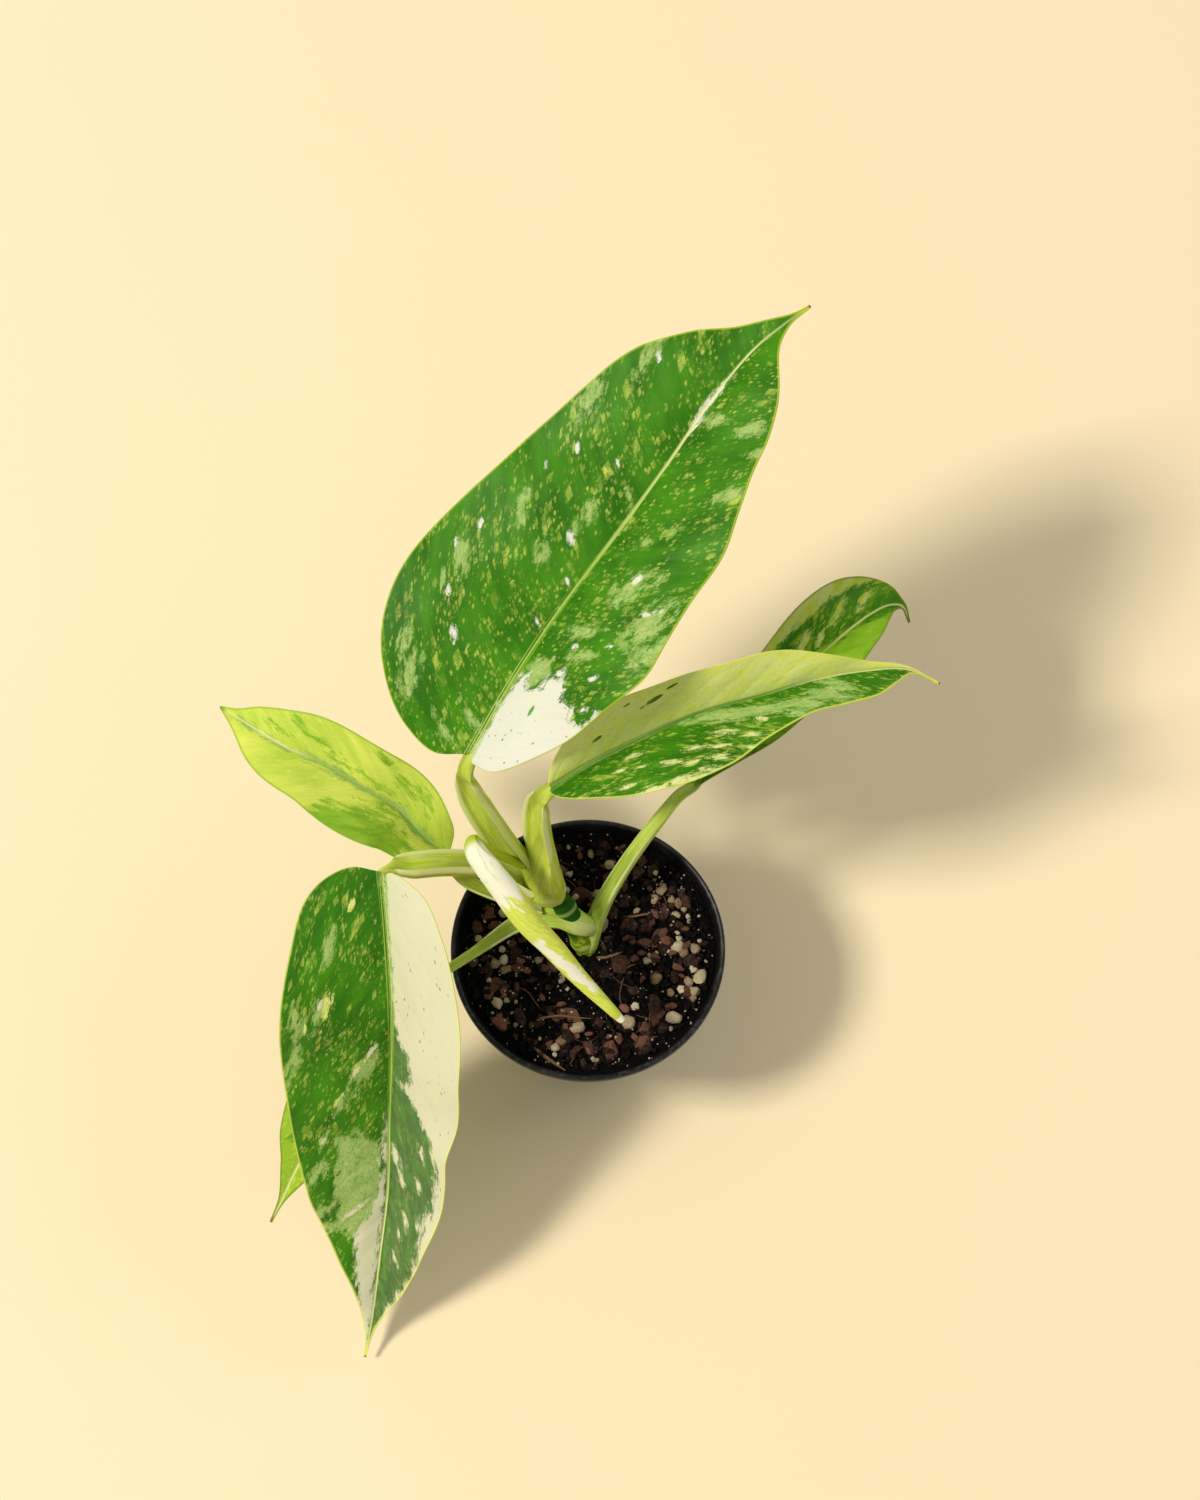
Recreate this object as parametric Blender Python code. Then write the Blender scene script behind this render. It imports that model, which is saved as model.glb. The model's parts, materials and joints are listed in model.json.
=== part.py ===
"""Variegated philodendron growing in a plastic nursery pot.

Metres, +Z up. The origin is the centre of the pot's base, on the surface that the pot stands on.
+Y is the back of the plant, where its largest leaf points.
"""

import math
import random
from collections import namedtuple

import bmesh
import bpy
import numpy as np
from mathutils import Euler, Matrix, Vector

MM = 0.001
CLEARANCE = 0.3 * MM

# Pot
POT_HEIGHT = 92 * MM
RIM_RADIUS = 55 * MM
BASE_RADIUS = 39 * MM
WALL = 1.2 * MM
FLOOR = 1.8 * MM
LIP_HEIGHT = 4.5 * MM
LIP_WIDTH = 2.2 * MM
CENTRE_RADIUS = 14 * MM
COLLAR_HEIGHT = 15 * MM
COLLAR_STEP = 1.4 * MM
OVAL = 0.035
POT_SEGMENTS = 44
DRAIN_HOLES = 6
DRAIN_RADIUS = 3.2 * MM
DRAIN_CIRCLE = 30 * MM

# Potting mix
SOIL_LEVEL = 84 * MM
SOIL_RINGS = 7
SOIL_SEED = 11
BARK_CHIPS = 38
PUMICE_GRAINS = 32
BARK_REACH = 44.5 * MM
BARK_ROOM = 3.7 * MM
PUMICE_REACH = 46 * MM
PUMICE_ROOM = 2 * MM
STEM_FOOT = (-1.5 * MM, 4 * MM)
CLEAR_OF_STEM = 13 * MM

# Leaves
BLADE_THICKNESS = 0.8 * MM
MIDRIB_DEPTH = 1.7 * MM
MIDRIB_TAPER = 0.7
TIP_HALF_WIDTH = 0.5
LATERAL_STEPS = (0.06, 0.32, 0.62, 0.86, 1.0)
BLADE_ARCH = 0.05
RIPPLE_LENGTH = 7.5
VEIN_SWEEP = 1.4
TIP_CROWDING = 1.3
SEAT_LENGTH = 7.0
SEAT_DROP = 1.9

# Each blade: points of its midrib from base to tip, the rise of its two halves in degrees at base,
# middle and tip, and its two margins as (along the midrib, out from it), all lengths in millimetres.
Blade = namedtuple("Blade", "midrib rise_left rise_right left right wave ribs")

# Each stalk: its route, the direction that its channelled upper side faces, and its sections as
# (fraction of its length, half width, half depth, hollowness of the upper side).
Stalk = namedtuple("Stalk", "route facing sections")

BLADES = {
    "leaf_large_back": Blade(
        midrib=[(-44, 61, 166), (-29, 84, 179), (-10, 108, 197), (12, 132, 216), (30, 153, 231),
                (45, 172, 243), (60, 188, 251), (71, 196, 255), (80, 202, 257)],
        rise_left=(10, 8, 8),
        rise_right=(26, 26, 24),
        left=[(-2, 2.5), (-7, 13), (-1, 31), (14, 46), (30, 55), (46, 58), (77, 53.5), (118, 45.5),
              (155, 36), (175, 22), (187, 10), (198, 4), (204, 1.5)],
        right=[(-3, 3), (0, 14), (20, 31), (47, 42.5), (66, 48.5), (87, 49), (123, 43), (163, 30),
               (182, 20), (195, 6), (202, 1.5)],
        wave=1.6,
        ribs=24,
    ),
    "leaf_folded_right": Blade(
        midrib=[(-14, 49, 160), (1, 57, 166), (20, 65, 173), (42, 73, 180), (64, 78, 185),
                (87, 84, 188), (105, 87, 188), (119, 88, 186), (132, 84, 181)],
        rise_left=(60, 60, 50),
        rise_right=(32, 28, 22),
        left=[(0, 1.5), (5, 8), (18, 17.5), (33, 22.5), (56, 21.5), (84, 20.5), (99, 18), (115, 11),
              (129, 4), (145, 1.2)],
        right=[(-1, 2), (2, 7), (13, 16), (35, 26), (53, 31), (72, 29), (88, 21), (103, 16), (118, 14),
               (130, 12), (139, 7), (147, 1.5)],
        wave=0.8,
        ribs=20,
    ),
    "leaf_small_right": Blade(
        midrib=[(41, 56, 138), (54, 70, 145), (70, 85, 151), (92, 105, 155), (108, 119, 153),
                (118, 125.5, 148.5), (124, 126.5, 143), (127, 122, 137.5)],
        rise_left=(25, 25, 20),
        rise_right=(38, 38, 34),
        left=[(0, 2), (8, 8), (24, 13), (52, 16.5), (76, 20.5), (91, 19), (101, 14.5), (108, 8),
              (113, 3), (118, 1.2)],
        right=[(0, 2), (6, 5), (18, 11), (38, 18), (60, 20.5), (78, 17.5), (92, 13), (100, 8), (107, 4),
               (115, 1.2)],
        wave=0.6,
        ribs=16,
    ),
    "leaf_yellow_left": Blade(
        midrib=[(-56, 33, 120), (-64, 38, 127), (-74, 47, 136), (-86, 53, 143), (-103, 62, 149),
                (-115, 67, 151), (-130, 76, 151), (-142, 84, 149)],
        rise_left=(18, 18, 15),
        rise_right=(38, 36, 30),
        left=[(0, 2), (3, 9), (15, 15), (30, 20), (49, 22), (65, 20), (77, 17), (88, 12), (99, 5)],
        right=[(-1, 2), (6, 11), (21, 16.5), (42, 18.5), (64, 17.5), (78, 15.5), (93, 9), (102, 3)],
        wave=0.8,
        ribs=16,
    ),
    "leaf_hanging_front": Blade(
        midrib=[(-79, 21, 138), (-77, -1, 134), (-76, -26, 120), (-77, -46, 101), (-79, -67, 80),
                (-81, -93, 57), (-85, -115, 37), (-89, -138, 19), (-93, -157, 7)],
        rise_left=(36, 38, 34),
        rise_right=(16, 12, 8),
        left=[(-1, 2), (4, 10), (13, 20), (26, 28), (43, 32), (61, 36), (84, 36), (110, 33),
              (135, 29.5), (160, 24.5), (186, 15), (206, 5), (217, 1.2)],
        right=[(-1, 3), (-3, 12), (1, 23), (10, 31.5), (26, 37.5), (50, 43), (75, 43), (101, 40),
               (127, 36), (155, 29), (180, 17), (197, 8), (211, 3), (218, 1.2)],
        wave=1.4,
        ribs=24,
    ),
    "leaf_small_front": Blade(
        midrib=[(-73, -23, 96), (-82, -36, 88), (-95.5, -52, 74), (-108.5, -68, 59), (-120, -84, 46),
                (-127, -96.5, 36), (-131, -103.5, 32)],
        rise_left=(10, 10, 12),
        rise_right=(16, 14, 12),
        left=[(0, 2), (5, 8), (16, 13), (34, 15), (54, 14), (74, 11), (93, 6), (109, 1.2)],
        right=[(0, 2), (4, 8), (13, 14), (33, 19), (58, 19), (78, 14), (91, 7), (105, 2)],
        wave=0.6,
        ribs=14,
    ),
}

STALKS = {
    "leaf_large_back": Stalk(
        route=[(-19, 21, 107), (-27, 27.5, 119), (-38, 38, 134), (-45, 48, 147), (-47, 55, 157)],
        facing=(-0.5, -0.35, 0.8),
        sections=[(0, 8, 5.5, 0.4), (0.3, 7.5, 5.5, 0.6), (0.62, 6.8, 5, 0.6), (0.74, 5.6, 4.2, 0.4),
                  (0.8, 3.8, 3.6, 0), (0.92, 3, 3, -0.3), (1, 1.7, 1.6, -0.3)],
    ),
    "leaf_folded_right": Stalk(
        route=[(-15, 20, 107), (-17.5, 29.5, 126), (-19.5, 40.5, 143), (-18, 46, 153)],
        facing=(-0.8, -0.1, 0.6),
        sections=[(0, 8.5, 6.2, 0.35), (0.25, 7.3, 5.4, 0.55), (0.6, 6.3, 4.6, 0.6), (0.72, 5, 4.2, 0.4),
                  (0.78, 3.5, 3.4, 0), (0.9, 2.8, 2.8, -0.3), (1, 1.7, 1.6, -0.3)],
    ),
    "leaf_hanging_front": Stalk(
        route=[(-22, 21, 111), (-38, 26.5, 123), (-53, 26, 132), (-67, 24, 138), (-75, 23.5, 139.5)],
        facing=(0, 0.5, 0.87),
        sections=[(0, 7.5, 5.5, 0.4), (0.3, 7, 5.4, 0.6), (0.72, 6.6, 5, 0.6), (0.79, 5.4, 4, 0.4),
                  (0.84, 3.2, 3.2, 0), (0.92, 2.4, 2.4, -0.3), (1, 1.6, 1.6, -0.3)],
    ),
    "leaf_yellow_left": Stalk(
        route=[(-18, 16, 102), (-37, 19, 110), (-48, 23, 114), (-54, 29, 117.5)],
        facing=(0, 0.2, 1),
        sections=[(0, 4.5, 4, 0.3), (0.5, 3, 3, 0.3), (0.85, 2.3, 2.3, -0.2), (1, 1.5, 1.5, -0.3)],
    ),
    "leaf_small_front": Stalk(
        route=[(-8, 9, 92), (-17, 11, 97), (-29, 7, 102), (-43, -3, 106), (-55, -11, 106), (-66, -18, 102)],
        facing=(0, 0.3, 1),
        sections=[(0, 5, 3.6, 0.5), (0.2, 4.4, 3, 0.55), (0.45, 2.8, 2.4, 0.4), (0.56, 1.9, 1.9, 0),
                  (0.9, 1.6, 1.6, -0.3), (1, 1.4, 1.4, -0.3)],
    ),
    "leaf_small_right": Stalk(
        route=[(0.5, 7.5, 88), (4.5, 12, 93), (8.5, 20, 100), (16, 31.5, 112), (26.5, 43.5, 127),
               (35.5, 52.5, 135.5)],
        facing=(-0.5, 0.35, 0.8),
        sections=[(0, 4, 3.2, 0.3), (0.25, 3.2, 2.8, 0.3), (0.7, 2.6, 2.4, 0.2), (0.92, 2.2, 2.2, -0.3),
                  (1, 1.5, 1.5, -0.3)],
    ),
}
CROWN_ORDER = ("leaf_folded_right", "leaf_large_back", "leaf_hanging_front", "leaf_yellow_left",
               "leaf_small_front", "leaf_small_right")
STALK_RINGS = 13
STALK_OUTER_POINTS = 7
STALK_INNER_POINTS = 5
WING_LIFT = 0.4
WING_EDGE = 0.6

# Rolled young leaf: route, and its radius as (fraction of its length, millimetres)
ROLLED_ROUTE = [(-25.5, 28, 120), (-32, 33, 129.5), (-37, 35.5, 138), (-40.5, 35, 145), (-43.5, 32, 150),
                (-42.5, 27, 152), (-38, 21, 151), (-31, 11.5, 147), (-23, 1, 142), (-14, -7.5, 136),
                (-4, -17.5, 128), (6, -26.5, 121), (13.5, -33, 116)]
ROLLED_RADII = [(0, 1.8), (0.2, 2), (0.26, 2.6), (0.3, 4), (0.35, 4.8), (0.5, 4.7), (0.7, 4),
                (0.86, 2.9), (0.97, 1.9), (1, 1.3)]
ROLLED_RINGS = 26
ROLLED_POINTS = 13
ROLLED_SEAM = 0.16

# Stem
STEM_ROUTE = [(0, 1, 60), (0, 1, 76), (-1.5, 3.5, 84), (-5, 9, 94), (-11, 17, 104), (-15, 21, 110)]
STEM_RADII = [(0, 4.4), (0.38, 4.6), (0.46, 5.4), (0.53, 4.7), (0.74, 4.3), (0.78, 4.7), (0.82, 4.3),
              (0.95, 4), (1, 3)]
STEM_RINGS = 18
STEM_POINTS = 14

COLOURS = {
    "pot": (0.011, 0.011, 0.013),
    "soil": (0.022, 0.013, 0.009),
    "stem": (0.02, 0.1, 0.015),
    "leaf_large_back": (0.03, 0.16, 0.012),
    "leaf_folded_right": (0.3, 0.42, 0.08),
    "leaf_small_right": (0.12, 0.28, 0.03),
    "leaf_yellow_left": (0.42, 0.6, 0.08),
    "leaf_hanging_front": (0.1, 0.25, 0.06),
    "leaf_small_front": (0.25, 0.5, 0.04),
    "leaf_rolled": (0.55, 0.68, 0.3),
}
ROUGHNESS = {"pot": 0.45, "soil": 0.95}
LEAF_ROUGHNESS = 0.4


def clear_scene():
    """Remove whatever the file holds."""
    for thing in list(bpy.data.objects):
        bpy.data.objects.remove(thing, do_unlink=True)


def make_material(name):
    """A plain finish in the colour of the part that has this name."""
    material = bpy.data.materials.new(name)
    material.use_nodes = True
    shader = material.node_tree.nodes["Principled BSDF"]
    shader.inputs["Base Color"].default_value = (*COLOURS[name], 1)
    shader.inputs["Roughness"].default_value = ROUGHNESS.get(name, LEAF_ROUGHNESS)
    shader.inputs["Metallic"].default_value = 0
    return material


def make_object(name, bm):
    """Put a bmesh in the scene as an object of this name."""
    mesh = bpy.data.meshes.new(name)
    bm.to_mesh(mesh)
    bm.free()
    thing = bpy.data.objects.new(name, mesh)
    bpy.context.scene.collection.objects.link(thing)
    return thing


def finish(thing, smooth_angle):
    """Give a finished part its material and its shading."""
    thing.data.materials.clear()
    thing.data.materials.append(make_material(thing.name))
    thing.data.shade_smooth()
    thing.data.set_sharp_from_angle(angle=math.radians(smooth_angle))


def combine(thing, operation, tools, solver="EXACT"):
    """Join tools to a part or cut them out of it, and remove them."""
    group = bpy.data.collections.new("tools")
    bpy.context.scene.collection.children.link(group)
    for tool in tools:
        group.objects.link(tool)
    modifier = thing.modifiers.new("combine", "BOOLEAN")
    modifier.operation = operation
    modifier.solver = solver
    modifier.operand_type = "COLLECTION"
    modifier.collection = group
    bpy.context.view_layer.update()
    evaluated = thing.evaluated_get(bpy.context.evaluated_depsgraph_get())
    mesh = bpy.data.meshes.new_from_object(evaluated)
    thing.modifiers.clear()
    thing.data = mesh
    for tool in tools:
        bpy.data.objects.remove(tool, do_unlink=True)
    bpy.data.collections.remove(group)


def keep_largest_piece(thing):
    """Drop the loose scraps that a cut leaves beside the main body."""
    bm = bmesh.new()
    bm.from_mesh(thing.data)
    left = set(bm.verts)
    islands = []
    while left:
        island = set()
        edge_of_search = [left.pop()]
        while edge_of_search:
            vert = edge_of_search.pop()
            island.add(vert)
            for edge in vert.link_edges:
                other = edge.other_vert(vert)
                if other in left:
                    left.discard(other)
                    edge_of_search.append(other)
        islands.append(island)
    islands.sort(key=len)
    for scrap in islands[:-1]:
        bmesh.ops.delete(bm, geom=list(scrap), context="VERTS")
    bm.to_mesh(thing.data)
    bm.free()


def smooth_path(points, count):
    """Evenly spaced points on the centripetal spline through the given points."""
    given = [np.array(point, dtype=float) for point in points]
    padded = [2 * given[0] - given[1], *given, 2 * given[-1] - given[-2]]
    dense = []
    for first, start, end, last in zip(padded, padded[1:], padded[2:], padded[3:]):
        t1 = math.sqrt(np.linalg.norm(start - first))
        t2 = t1 + math.sqrt(np.linalg.norm(end - start))
        t3 = t2 + math.sqrt(np.linalg.norm(last - end))
        for t in np.linspace(t1, t2, 24, endpoint=False):
            a1 = ((t1 - t) * first + t * start) / t1
            a2 = ((t2 - t) * start + (t - t1) * end) / (t2 - t1)
            a3 = ((t3 - t) * end + (t - t2) * last) / (t3 - t2)
            b1 = ((t2 - t) * a1 + t * a2) / t2
            b2 = ((t3 - t) * a2 + (t - t1) * a3) / (t3 - t1)
            dense.append(((t2 - t) * b1 + (t - t1) * b2) / (t2 - t1))
    dense.append(given[-1])
    dense = np.array(dense)
    travelled = np.concatenate([[0], np.cumsum(np.linalg.norm(np.diff(dense, axis=0), axis=1))])
    wanted = np.linspace(0, travelled[-1], count)
    return np.stack([np.interp(wanted, travelled, axis) for axis in dense.T], axis=-1)


def directions(path):
    """Unit tangents of a path."""
    along = np.gradient(path, axis=0)
    return along / np.linalg.norm(along, axis=1, keepdims=True)


def unit(vector):
    """The vector at a length of one."""
    return vector / np.linalg.norm(vector)


def station(table, fraction):
    """Values read between the rows of a table whose first column is a fraction."""
    rows = np.array(table, dtype=float)
    return [float(np.interp(fraction, rows[:, 0], column)) for column in rows[:, 1:].T]


class BladeForm:
    """The upper surface of a blade, in millimetres: a folded, arched and waved sheet on its midrib."""

    SAMPLES = 240
    CHORD = 24

    def __init__(self, blade):
        self.blade = blade
        self.path = smooth_path(blade.midrib, self.SAMPLES)
        self.tangents = directions(self.path)
        index = np.arange(self.SAMPLES)
        ahead = self.path[np.minimum(index + self.CHORD, self.SAMPLES - 1)]
        self.headings = ahead - self.path[np.maximum(index - self.CHORD, 0)]
        steps = np.linalg.norm(np.diff(self.path, axis=0), axis=1)
        self.length = float(steps.sum())
        self.margins = {
            -1: smooth_path([*blade.left, (self.length, TIP_HALF_WIDTH)], self.SAMPLES),
            1: smooth_path([*blade.right, (self.length, TIP_HALF_WIDTH)], self.SAMPLES),
        }

    def read(self, table, fraction):
        """A value of a sampled table at a fraction of its length."""
        spot = fraction * (self.SAMPLES - 1)
        index = min(int(spot), self.SAMPLES - 2)
        return table[index] + (table[index + 1] - table[index]) * (spot - index)

    def axes(self, along):
        """Midrib point, tangent, sideways direction and upper normal at a distance from the base."""
        fraction = min(max(along / self.length, 0), 1)
        tangent = unit(self.read(self.tangents, fraction))
        point = self.read(self.path, fraction) + tangent * min(along, 0)
        level = np.cross(self.read(self.headings, fraction), (0, 0, 1))
        sideways = unit(level - tangent * np.dot(level, tangent))
        return point, tangent, sideways, np.cross(sideways, tangent)

    def lines(self, rib, side):
        """Foot on the midrib and end on the margin of the lateral vein at this place."""
        crowded = 1 - (1 - rib) ** TIP_CROWDING
        return self.length * crowded ** VEIN_SWEEP, self.read(self.margins[side], crowded)

    def place(self, rib, side, out):
        """A point of the blade, and its upper normal: rib from 0 to 1 and out from midrib to margin."""
        foot, (margin_along, margin_out) = self.lines(rib, side)
        along = foot + (margin_along - foot) * out
        away = margin_out * out
        point, _, sideways, normal = self.axes(along)
        rises = self.blade.rise_right if side > 0 else self.blade.rise_left
        rise = math.radians(np.interp(along / self.length, (0, 0.5, 1), rises))
        lift = BLADE_ARCH * margin_out * math.sin(math.pi * out)
        swing = math.sin(along / RIPPLE_LENGTH + side) * math.sin(math.pi * rib)
        ripple = self.blade.wave * swing * out**2
        flat = sideways * side * math.cos(rise) + normal * math.sin(rise)
        upward = unit(normal * math.cos(rise) - sideways * side * math.sin(rise))
        mean = normal if out == 0 else upward
        return point + flat * away + upward * (lift + ripple), mean


def blade_object(name):
    """A blade as a closed sheet, thickened below along its midrib."""
    form = BladeForm(BLADES[name])
    steps = len(LATERAL_STEPS)
    bm = bmesh.new()
    bmesh.ops.create_grid(bm, x_segments=form.blade.ribs, y_segments=2 * steps, size=1)
    under = bm.verts.layers.float_vector.new("under")
    for vert in bm.verts:
        rib = (vert.co.x + 1) / 2
        column = round(vert.co.y * steps)
        side = -1 if column < 0 else 1
        out = LATERAL_STEPS[abs(column) - 1] if column else 0
        point, normal = form.place(rib, side, out)
        depth = BLADE_THICKNESS + (0 if column else MIDRIB_DEPTH * (1 - rib) ** MIDRIB_TAPER)
        vert.co = Vector(point * MM)
        vert[under] = Vector(-normal * depth)
    bmesh.ops.triangulate(bm, faces=bm.faces)
    top = list(bm.faces)
    made = bmesh.ops.extrude_face_region(bm, geom=top)
    for vert in [part for part in made["geom"] if isinstance(part, bmesh.types.BMVert)]:
        vert.co += vert[under]
    bmesh.ops.triangulate(bm, faces=bm.faces)
    bmesh.ops.recalc_face_normals(bm, faces=bm.faces)
    return make_object(name, bm)


def loft_object(name, rings):
    """A closed solid through rings of points that all have the same count."""
    count = len(rings[0])
    bm = bmesh.new()
    bmesh.ops.create_grid(bm, x_segments=len(rings) - 1, y_segments=count, size=1)
    for vert in bm.verts:
        row = round((vert.co.x + 1) / 2 * (len(rings) - 1))
        column = round((vert.co.y + 1) / 2 * count) % count
        vert.co = Vector(rings[row][column] * MM)
    bmesh.ops.remove_doubles(bm, verts=bm.verts, dist=0.001 * MM)
    open_edges = [edge for edge in bm.edges if edge.is_boundary]
    bmesh.ops.holes_fill(bm, edges=open_edges, sides=0)
    bmesh.ops.recalc_face_normals(bm, faces=bm.faces)
    bmesh.ops.triangulate(bm, faces=bm.faces)
    return make_object(name, bm)


def stalk_section(half_width, half_depth, hollow, grown):
    """A channelled section as (sideways, upward) pairs: round below, hollow or domed above."""
    outer = [(math.cos(a) * (half_width + grown), -math.sin(a) * (half_depth + grown))
             for a in np.linspace(0, math.pi, STALK_OUTER_POINTS)]
    inner = [(math.cos(a) * (half_width - WING_EDGE + grown),
              WING_LIFT + grown - math.sin(a) * half_depth * hollow * (1 if not grown else 0))
             for a in np.linspace(math.pi, 0, STALK_INNER_POINTS + 2)]
    return outer + inner[1:-1]


def grow_ends(rings, grown):
    """Move the two end rings of a grown loft outwards as well."""
    for ring, beside in ((rings[0], rings[1]), (rings[-1], rings[-2])):
        outward = unit(np.mean(ring, axis=0) - np.mean(beside, axis=0)) * grown
        ring[:] = [point + outward for point in ring]
    return rings


def stalk_rings(name, grown=0.0):
    """Rings of a stalk from the stem to its seat under the blade's midrib."""
    stalk = STALKS[name]
    form = BladeForm(BLADES[name])
    route = list(stalk.route)
    for along in (0, SEAT_LENGTH):
        point, _, _, normal = form.axes(along)
        route.append(point - normal * SEAT_DROP)
    path = smooth_path(route, STALK_RINGS)
    tangents = directions(path)
    rings = []
    for index, (point, tangent) in enumerate(zip(path, tangents)):
        fraction = index / (STALK_RINGS - 1)
        half_width, half_depth, hollow = station(stalk.sections, fraction)
        sideways = unit(np.cross(tangent, stalk.facing))
        upward = np.cross(sideways, tangent)
        section = stalk_section(half_width, half_depth, hollow, grown)
        rings.append([point + sideways * x + upward * y for x, y in section])
    return grow_ends(rings, grown)


def round_rings(route, radii, ring_count, point_count, seam=0.0, grown=0.0):
    """Round rings along a route, with a step of one sheet's edge where a seam is given."""
    path = smooth_path(route, ring_count)
    tangents = directions(path)
    rings = []
    sideways = unit(np.cross(tangents[0], (0.3, 1, 0.2)))
    for index, (point, tangent) in enumerate(zip(path, tangents)):
        sideways = unit(sideways - tangent * np.dot(sideways, tangent))
        upward = np.cross(sideways, tangent)
        radius = station(radii, index / (ring_count - 1))[0] + grown
        ring = []
        for step in range(point_count):
            turn = step / (point_count - 1) if seam else step / point_count
            reach = radius * (1 + seam * (turn - 0.5))
            angle = 2 * math.pi * turn
            ring.append(point + (sideways * math.cos(angle) + upward * math.sin(angle)) * reach)
        rings.append(ring)
    return grow_ends(rings, grown)


def stem_object(name, grown=0.0):
    """The short leaning stem, whose foot stands in the mix."""
    return loft_object(name, round_rings(STEM_ROUTE, STEM_RADII, STEM_RINGS, STEM_POINTS, grown=grown))


def rolled_object(name, grown=0.0):
    """The rolled young leaf on its own thin stalk."""
    rings = round_rings(ROLLED_ROUTE, ROLLED_RADII, ROLLED_RINGS, ROLLED_POINTS, ROLLED_SEAM, grown)
    return loft_object(name, rings)


def pot_profile():
    """The pot's outline from the middle of its base up the outside and down the inside."""
    collar = POT_HEIGHT - COLLAR_HEIGHT
    lip = POT_HEIGHT - LIP_HEIGHT
    wall_top = RIM_RADIUS - LIP_WIDTH
    slope = (wall_top - COLLAR_STEP - BASE_RADIUS) / collar
    below_collar = BASE_RADIUS + slope * collar
    return [
        (CENTRE_RADIUS, 0),
        (BASE_RADIUS - 1.5 * MM, 0),
        (BASE_RADIUS, 1.5 * MM),
        (below_collar, collar),
        (below_collar + COLLAR_STEP, collar + 1.5 * MM),
        (wall_top, lip),
        (RIM_RADIUS - 0.4 * MM, lip),
        (RIM_RADIUS, lip + 0.6 * MM),
        (RIM_RADIUS, POT_HEIGHT - 1.2 * MM),
        (RIM_RADIUS - 0.6 * MM, POT_HEIGHT - 0.3 * MM),
        (RIM_RADIUS - 1.3 * MM, POT_HEIGHT),
        (RIM_RADIUS - 2.1 * MM, POT_HEIGHT - 0.3 * MM),
        (wall_top - WALL, lip - 0.5 * MM),
        (below_collar + COLLAR_STEP - WALL, collar + 2.2 * MM),
        (below_collar - WALL, collar + 0.7 * MM),
        (BASE_RADIUS - WALL, FLOOR),
        (CENTRE_RADIUS, FLOOR),
    ]


def turned(profile, radial_steps):
    """A bmesh of a profile spun round the vertical axis, with its two ends closed."""
    bm = bmesh.new()
    verts = [bm.verts.new((radius, 0, height)) for radius, height in profile]
    edges = [bm.edges.new(pair) for pair in zip(verts, verts[1:])]
    bmesh.ops.spin(bm, geom=verts + edges, cent=(0, 0, 0), axis=(0, 0, 1), angle=2 * math.pi,
                   steps=radial_steps, use_merge=True)
    bmesh.ops.remove_doubles(bm, verts=bm.verts, dist=0.01 * MM)
    open_edges = [edge for edge in bm.edges if edge.is_boundary]
    bmesh.ops.holes_fill(bm, edges=open_edges, sides=0)
    bmesh.ops.recalc_face_normals(bm, faces=bm.faces)
    return bm


def make_oval(bm):
    """Press the soft pot a little flat across Y, more towards its rim."""
    for vert in bm.verts:
        vert.co.y *= 1 - OVAL * vert.co.z / POT_HEIGHT


def build_pot():
    """Thin nursery pot with a collar, a rolled lip and drain holes."""
    bm = turned(pot_profile(), POT_SEGMENTS)
    make_oval(bm)
    pot = make_object("pot", bm)
    drains = []
    for index in range(DRAIN_HOLES):
        angle = 2 * math.pi * (index + 0.5) / DRAIN_HOLES
        centre = Matrix.Translation((math.cos(angle) * DRAIN_CIRCLE, math.sin(angle) * DRAIN_CIRCLE, 0))
        drill = bmesh.new()
        bmesh.ops.create_cone(drill, cap_ends=True, segments=12, radius1=DRAIN_RADIUS,
                              radius2=DRAIN_RADIUS, depth=4 * FLOOR, matrix=centre)
        drains.append(make_object(f"drain_{index}", drill))
    combine(pot, "DIFFERENCE", drains)
    finish(pot, smooth_angle=30)


def soil_height(x, y):
    """The uneven top of the mix: higher against the back wall, scooped at the front of the stem."""
    swell = 1.1 * math.sin(x * 95 + 0.6) * math.cos(y * 80 - 0.4) + 0.6 * math.sin(x * 210 + y * 170)
    scoop = 2.2 * math.exp(-((x - 8 * MM) ** 2 + (y + 20 * MM) ** 2) / (17 * MM) ** 2)
    return SOIL_LEVEL + (swell - scoop) * MM


def soil_body():
    """The mix as a turned plug that fits the pot's inside."""
    wall = [(radius - CLEARANCE, height) for radius, height in pot_profile()[-5:-1]]
    top, collar, step, base = wall
    top_radius = np.interp(SOIL_LEVEL, (collar[1], top[1]), (collar[0], top[0]))
    surface = [(top_radius * ring / SOIL_RINGS, SOIL_LEVEL) for ring in range(1, SOIL_RINGS + 1)]
    floor = [(base[0], FLOOR + CLEARANCE), (CENTRE_RADIUS, FLOOR + CLEARANCE)]
    bm = turned([*surface, collar, step, *floor], POT_SEGMENTS)
    make_oval(bm)
    for vert in bm.verts:
        if abs(vert.co.z - SOIL_LEVEL) < 0.01 * MM:
            vert.co.z = soil_height(vert.co.x, vert.co.y)
    return make_object("soil", bm)


def scatter(draw, reach, room, taken):
    """A seeded place on the mix, clear of the stem, of the wall and of the grains already there."""
    while True:
        angle = draw.uniform(0, 2 * math.pi)
        radius = reach * math.sqrt(draw.random())
        x, y = radius * math.cos(angle), radius * math.sin(angle) * (1 - OVAL)
        spaced = all(math.hypot(x - u, y - v) > room + other for u, v, other in taken)
        if spaced and math.hypot(x - STEM_FOOT[0], y - STEM_FOOT[1]) > CLEAR_OF_STEM:
            taken.append((x, y, room))
            return x, y


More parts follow.
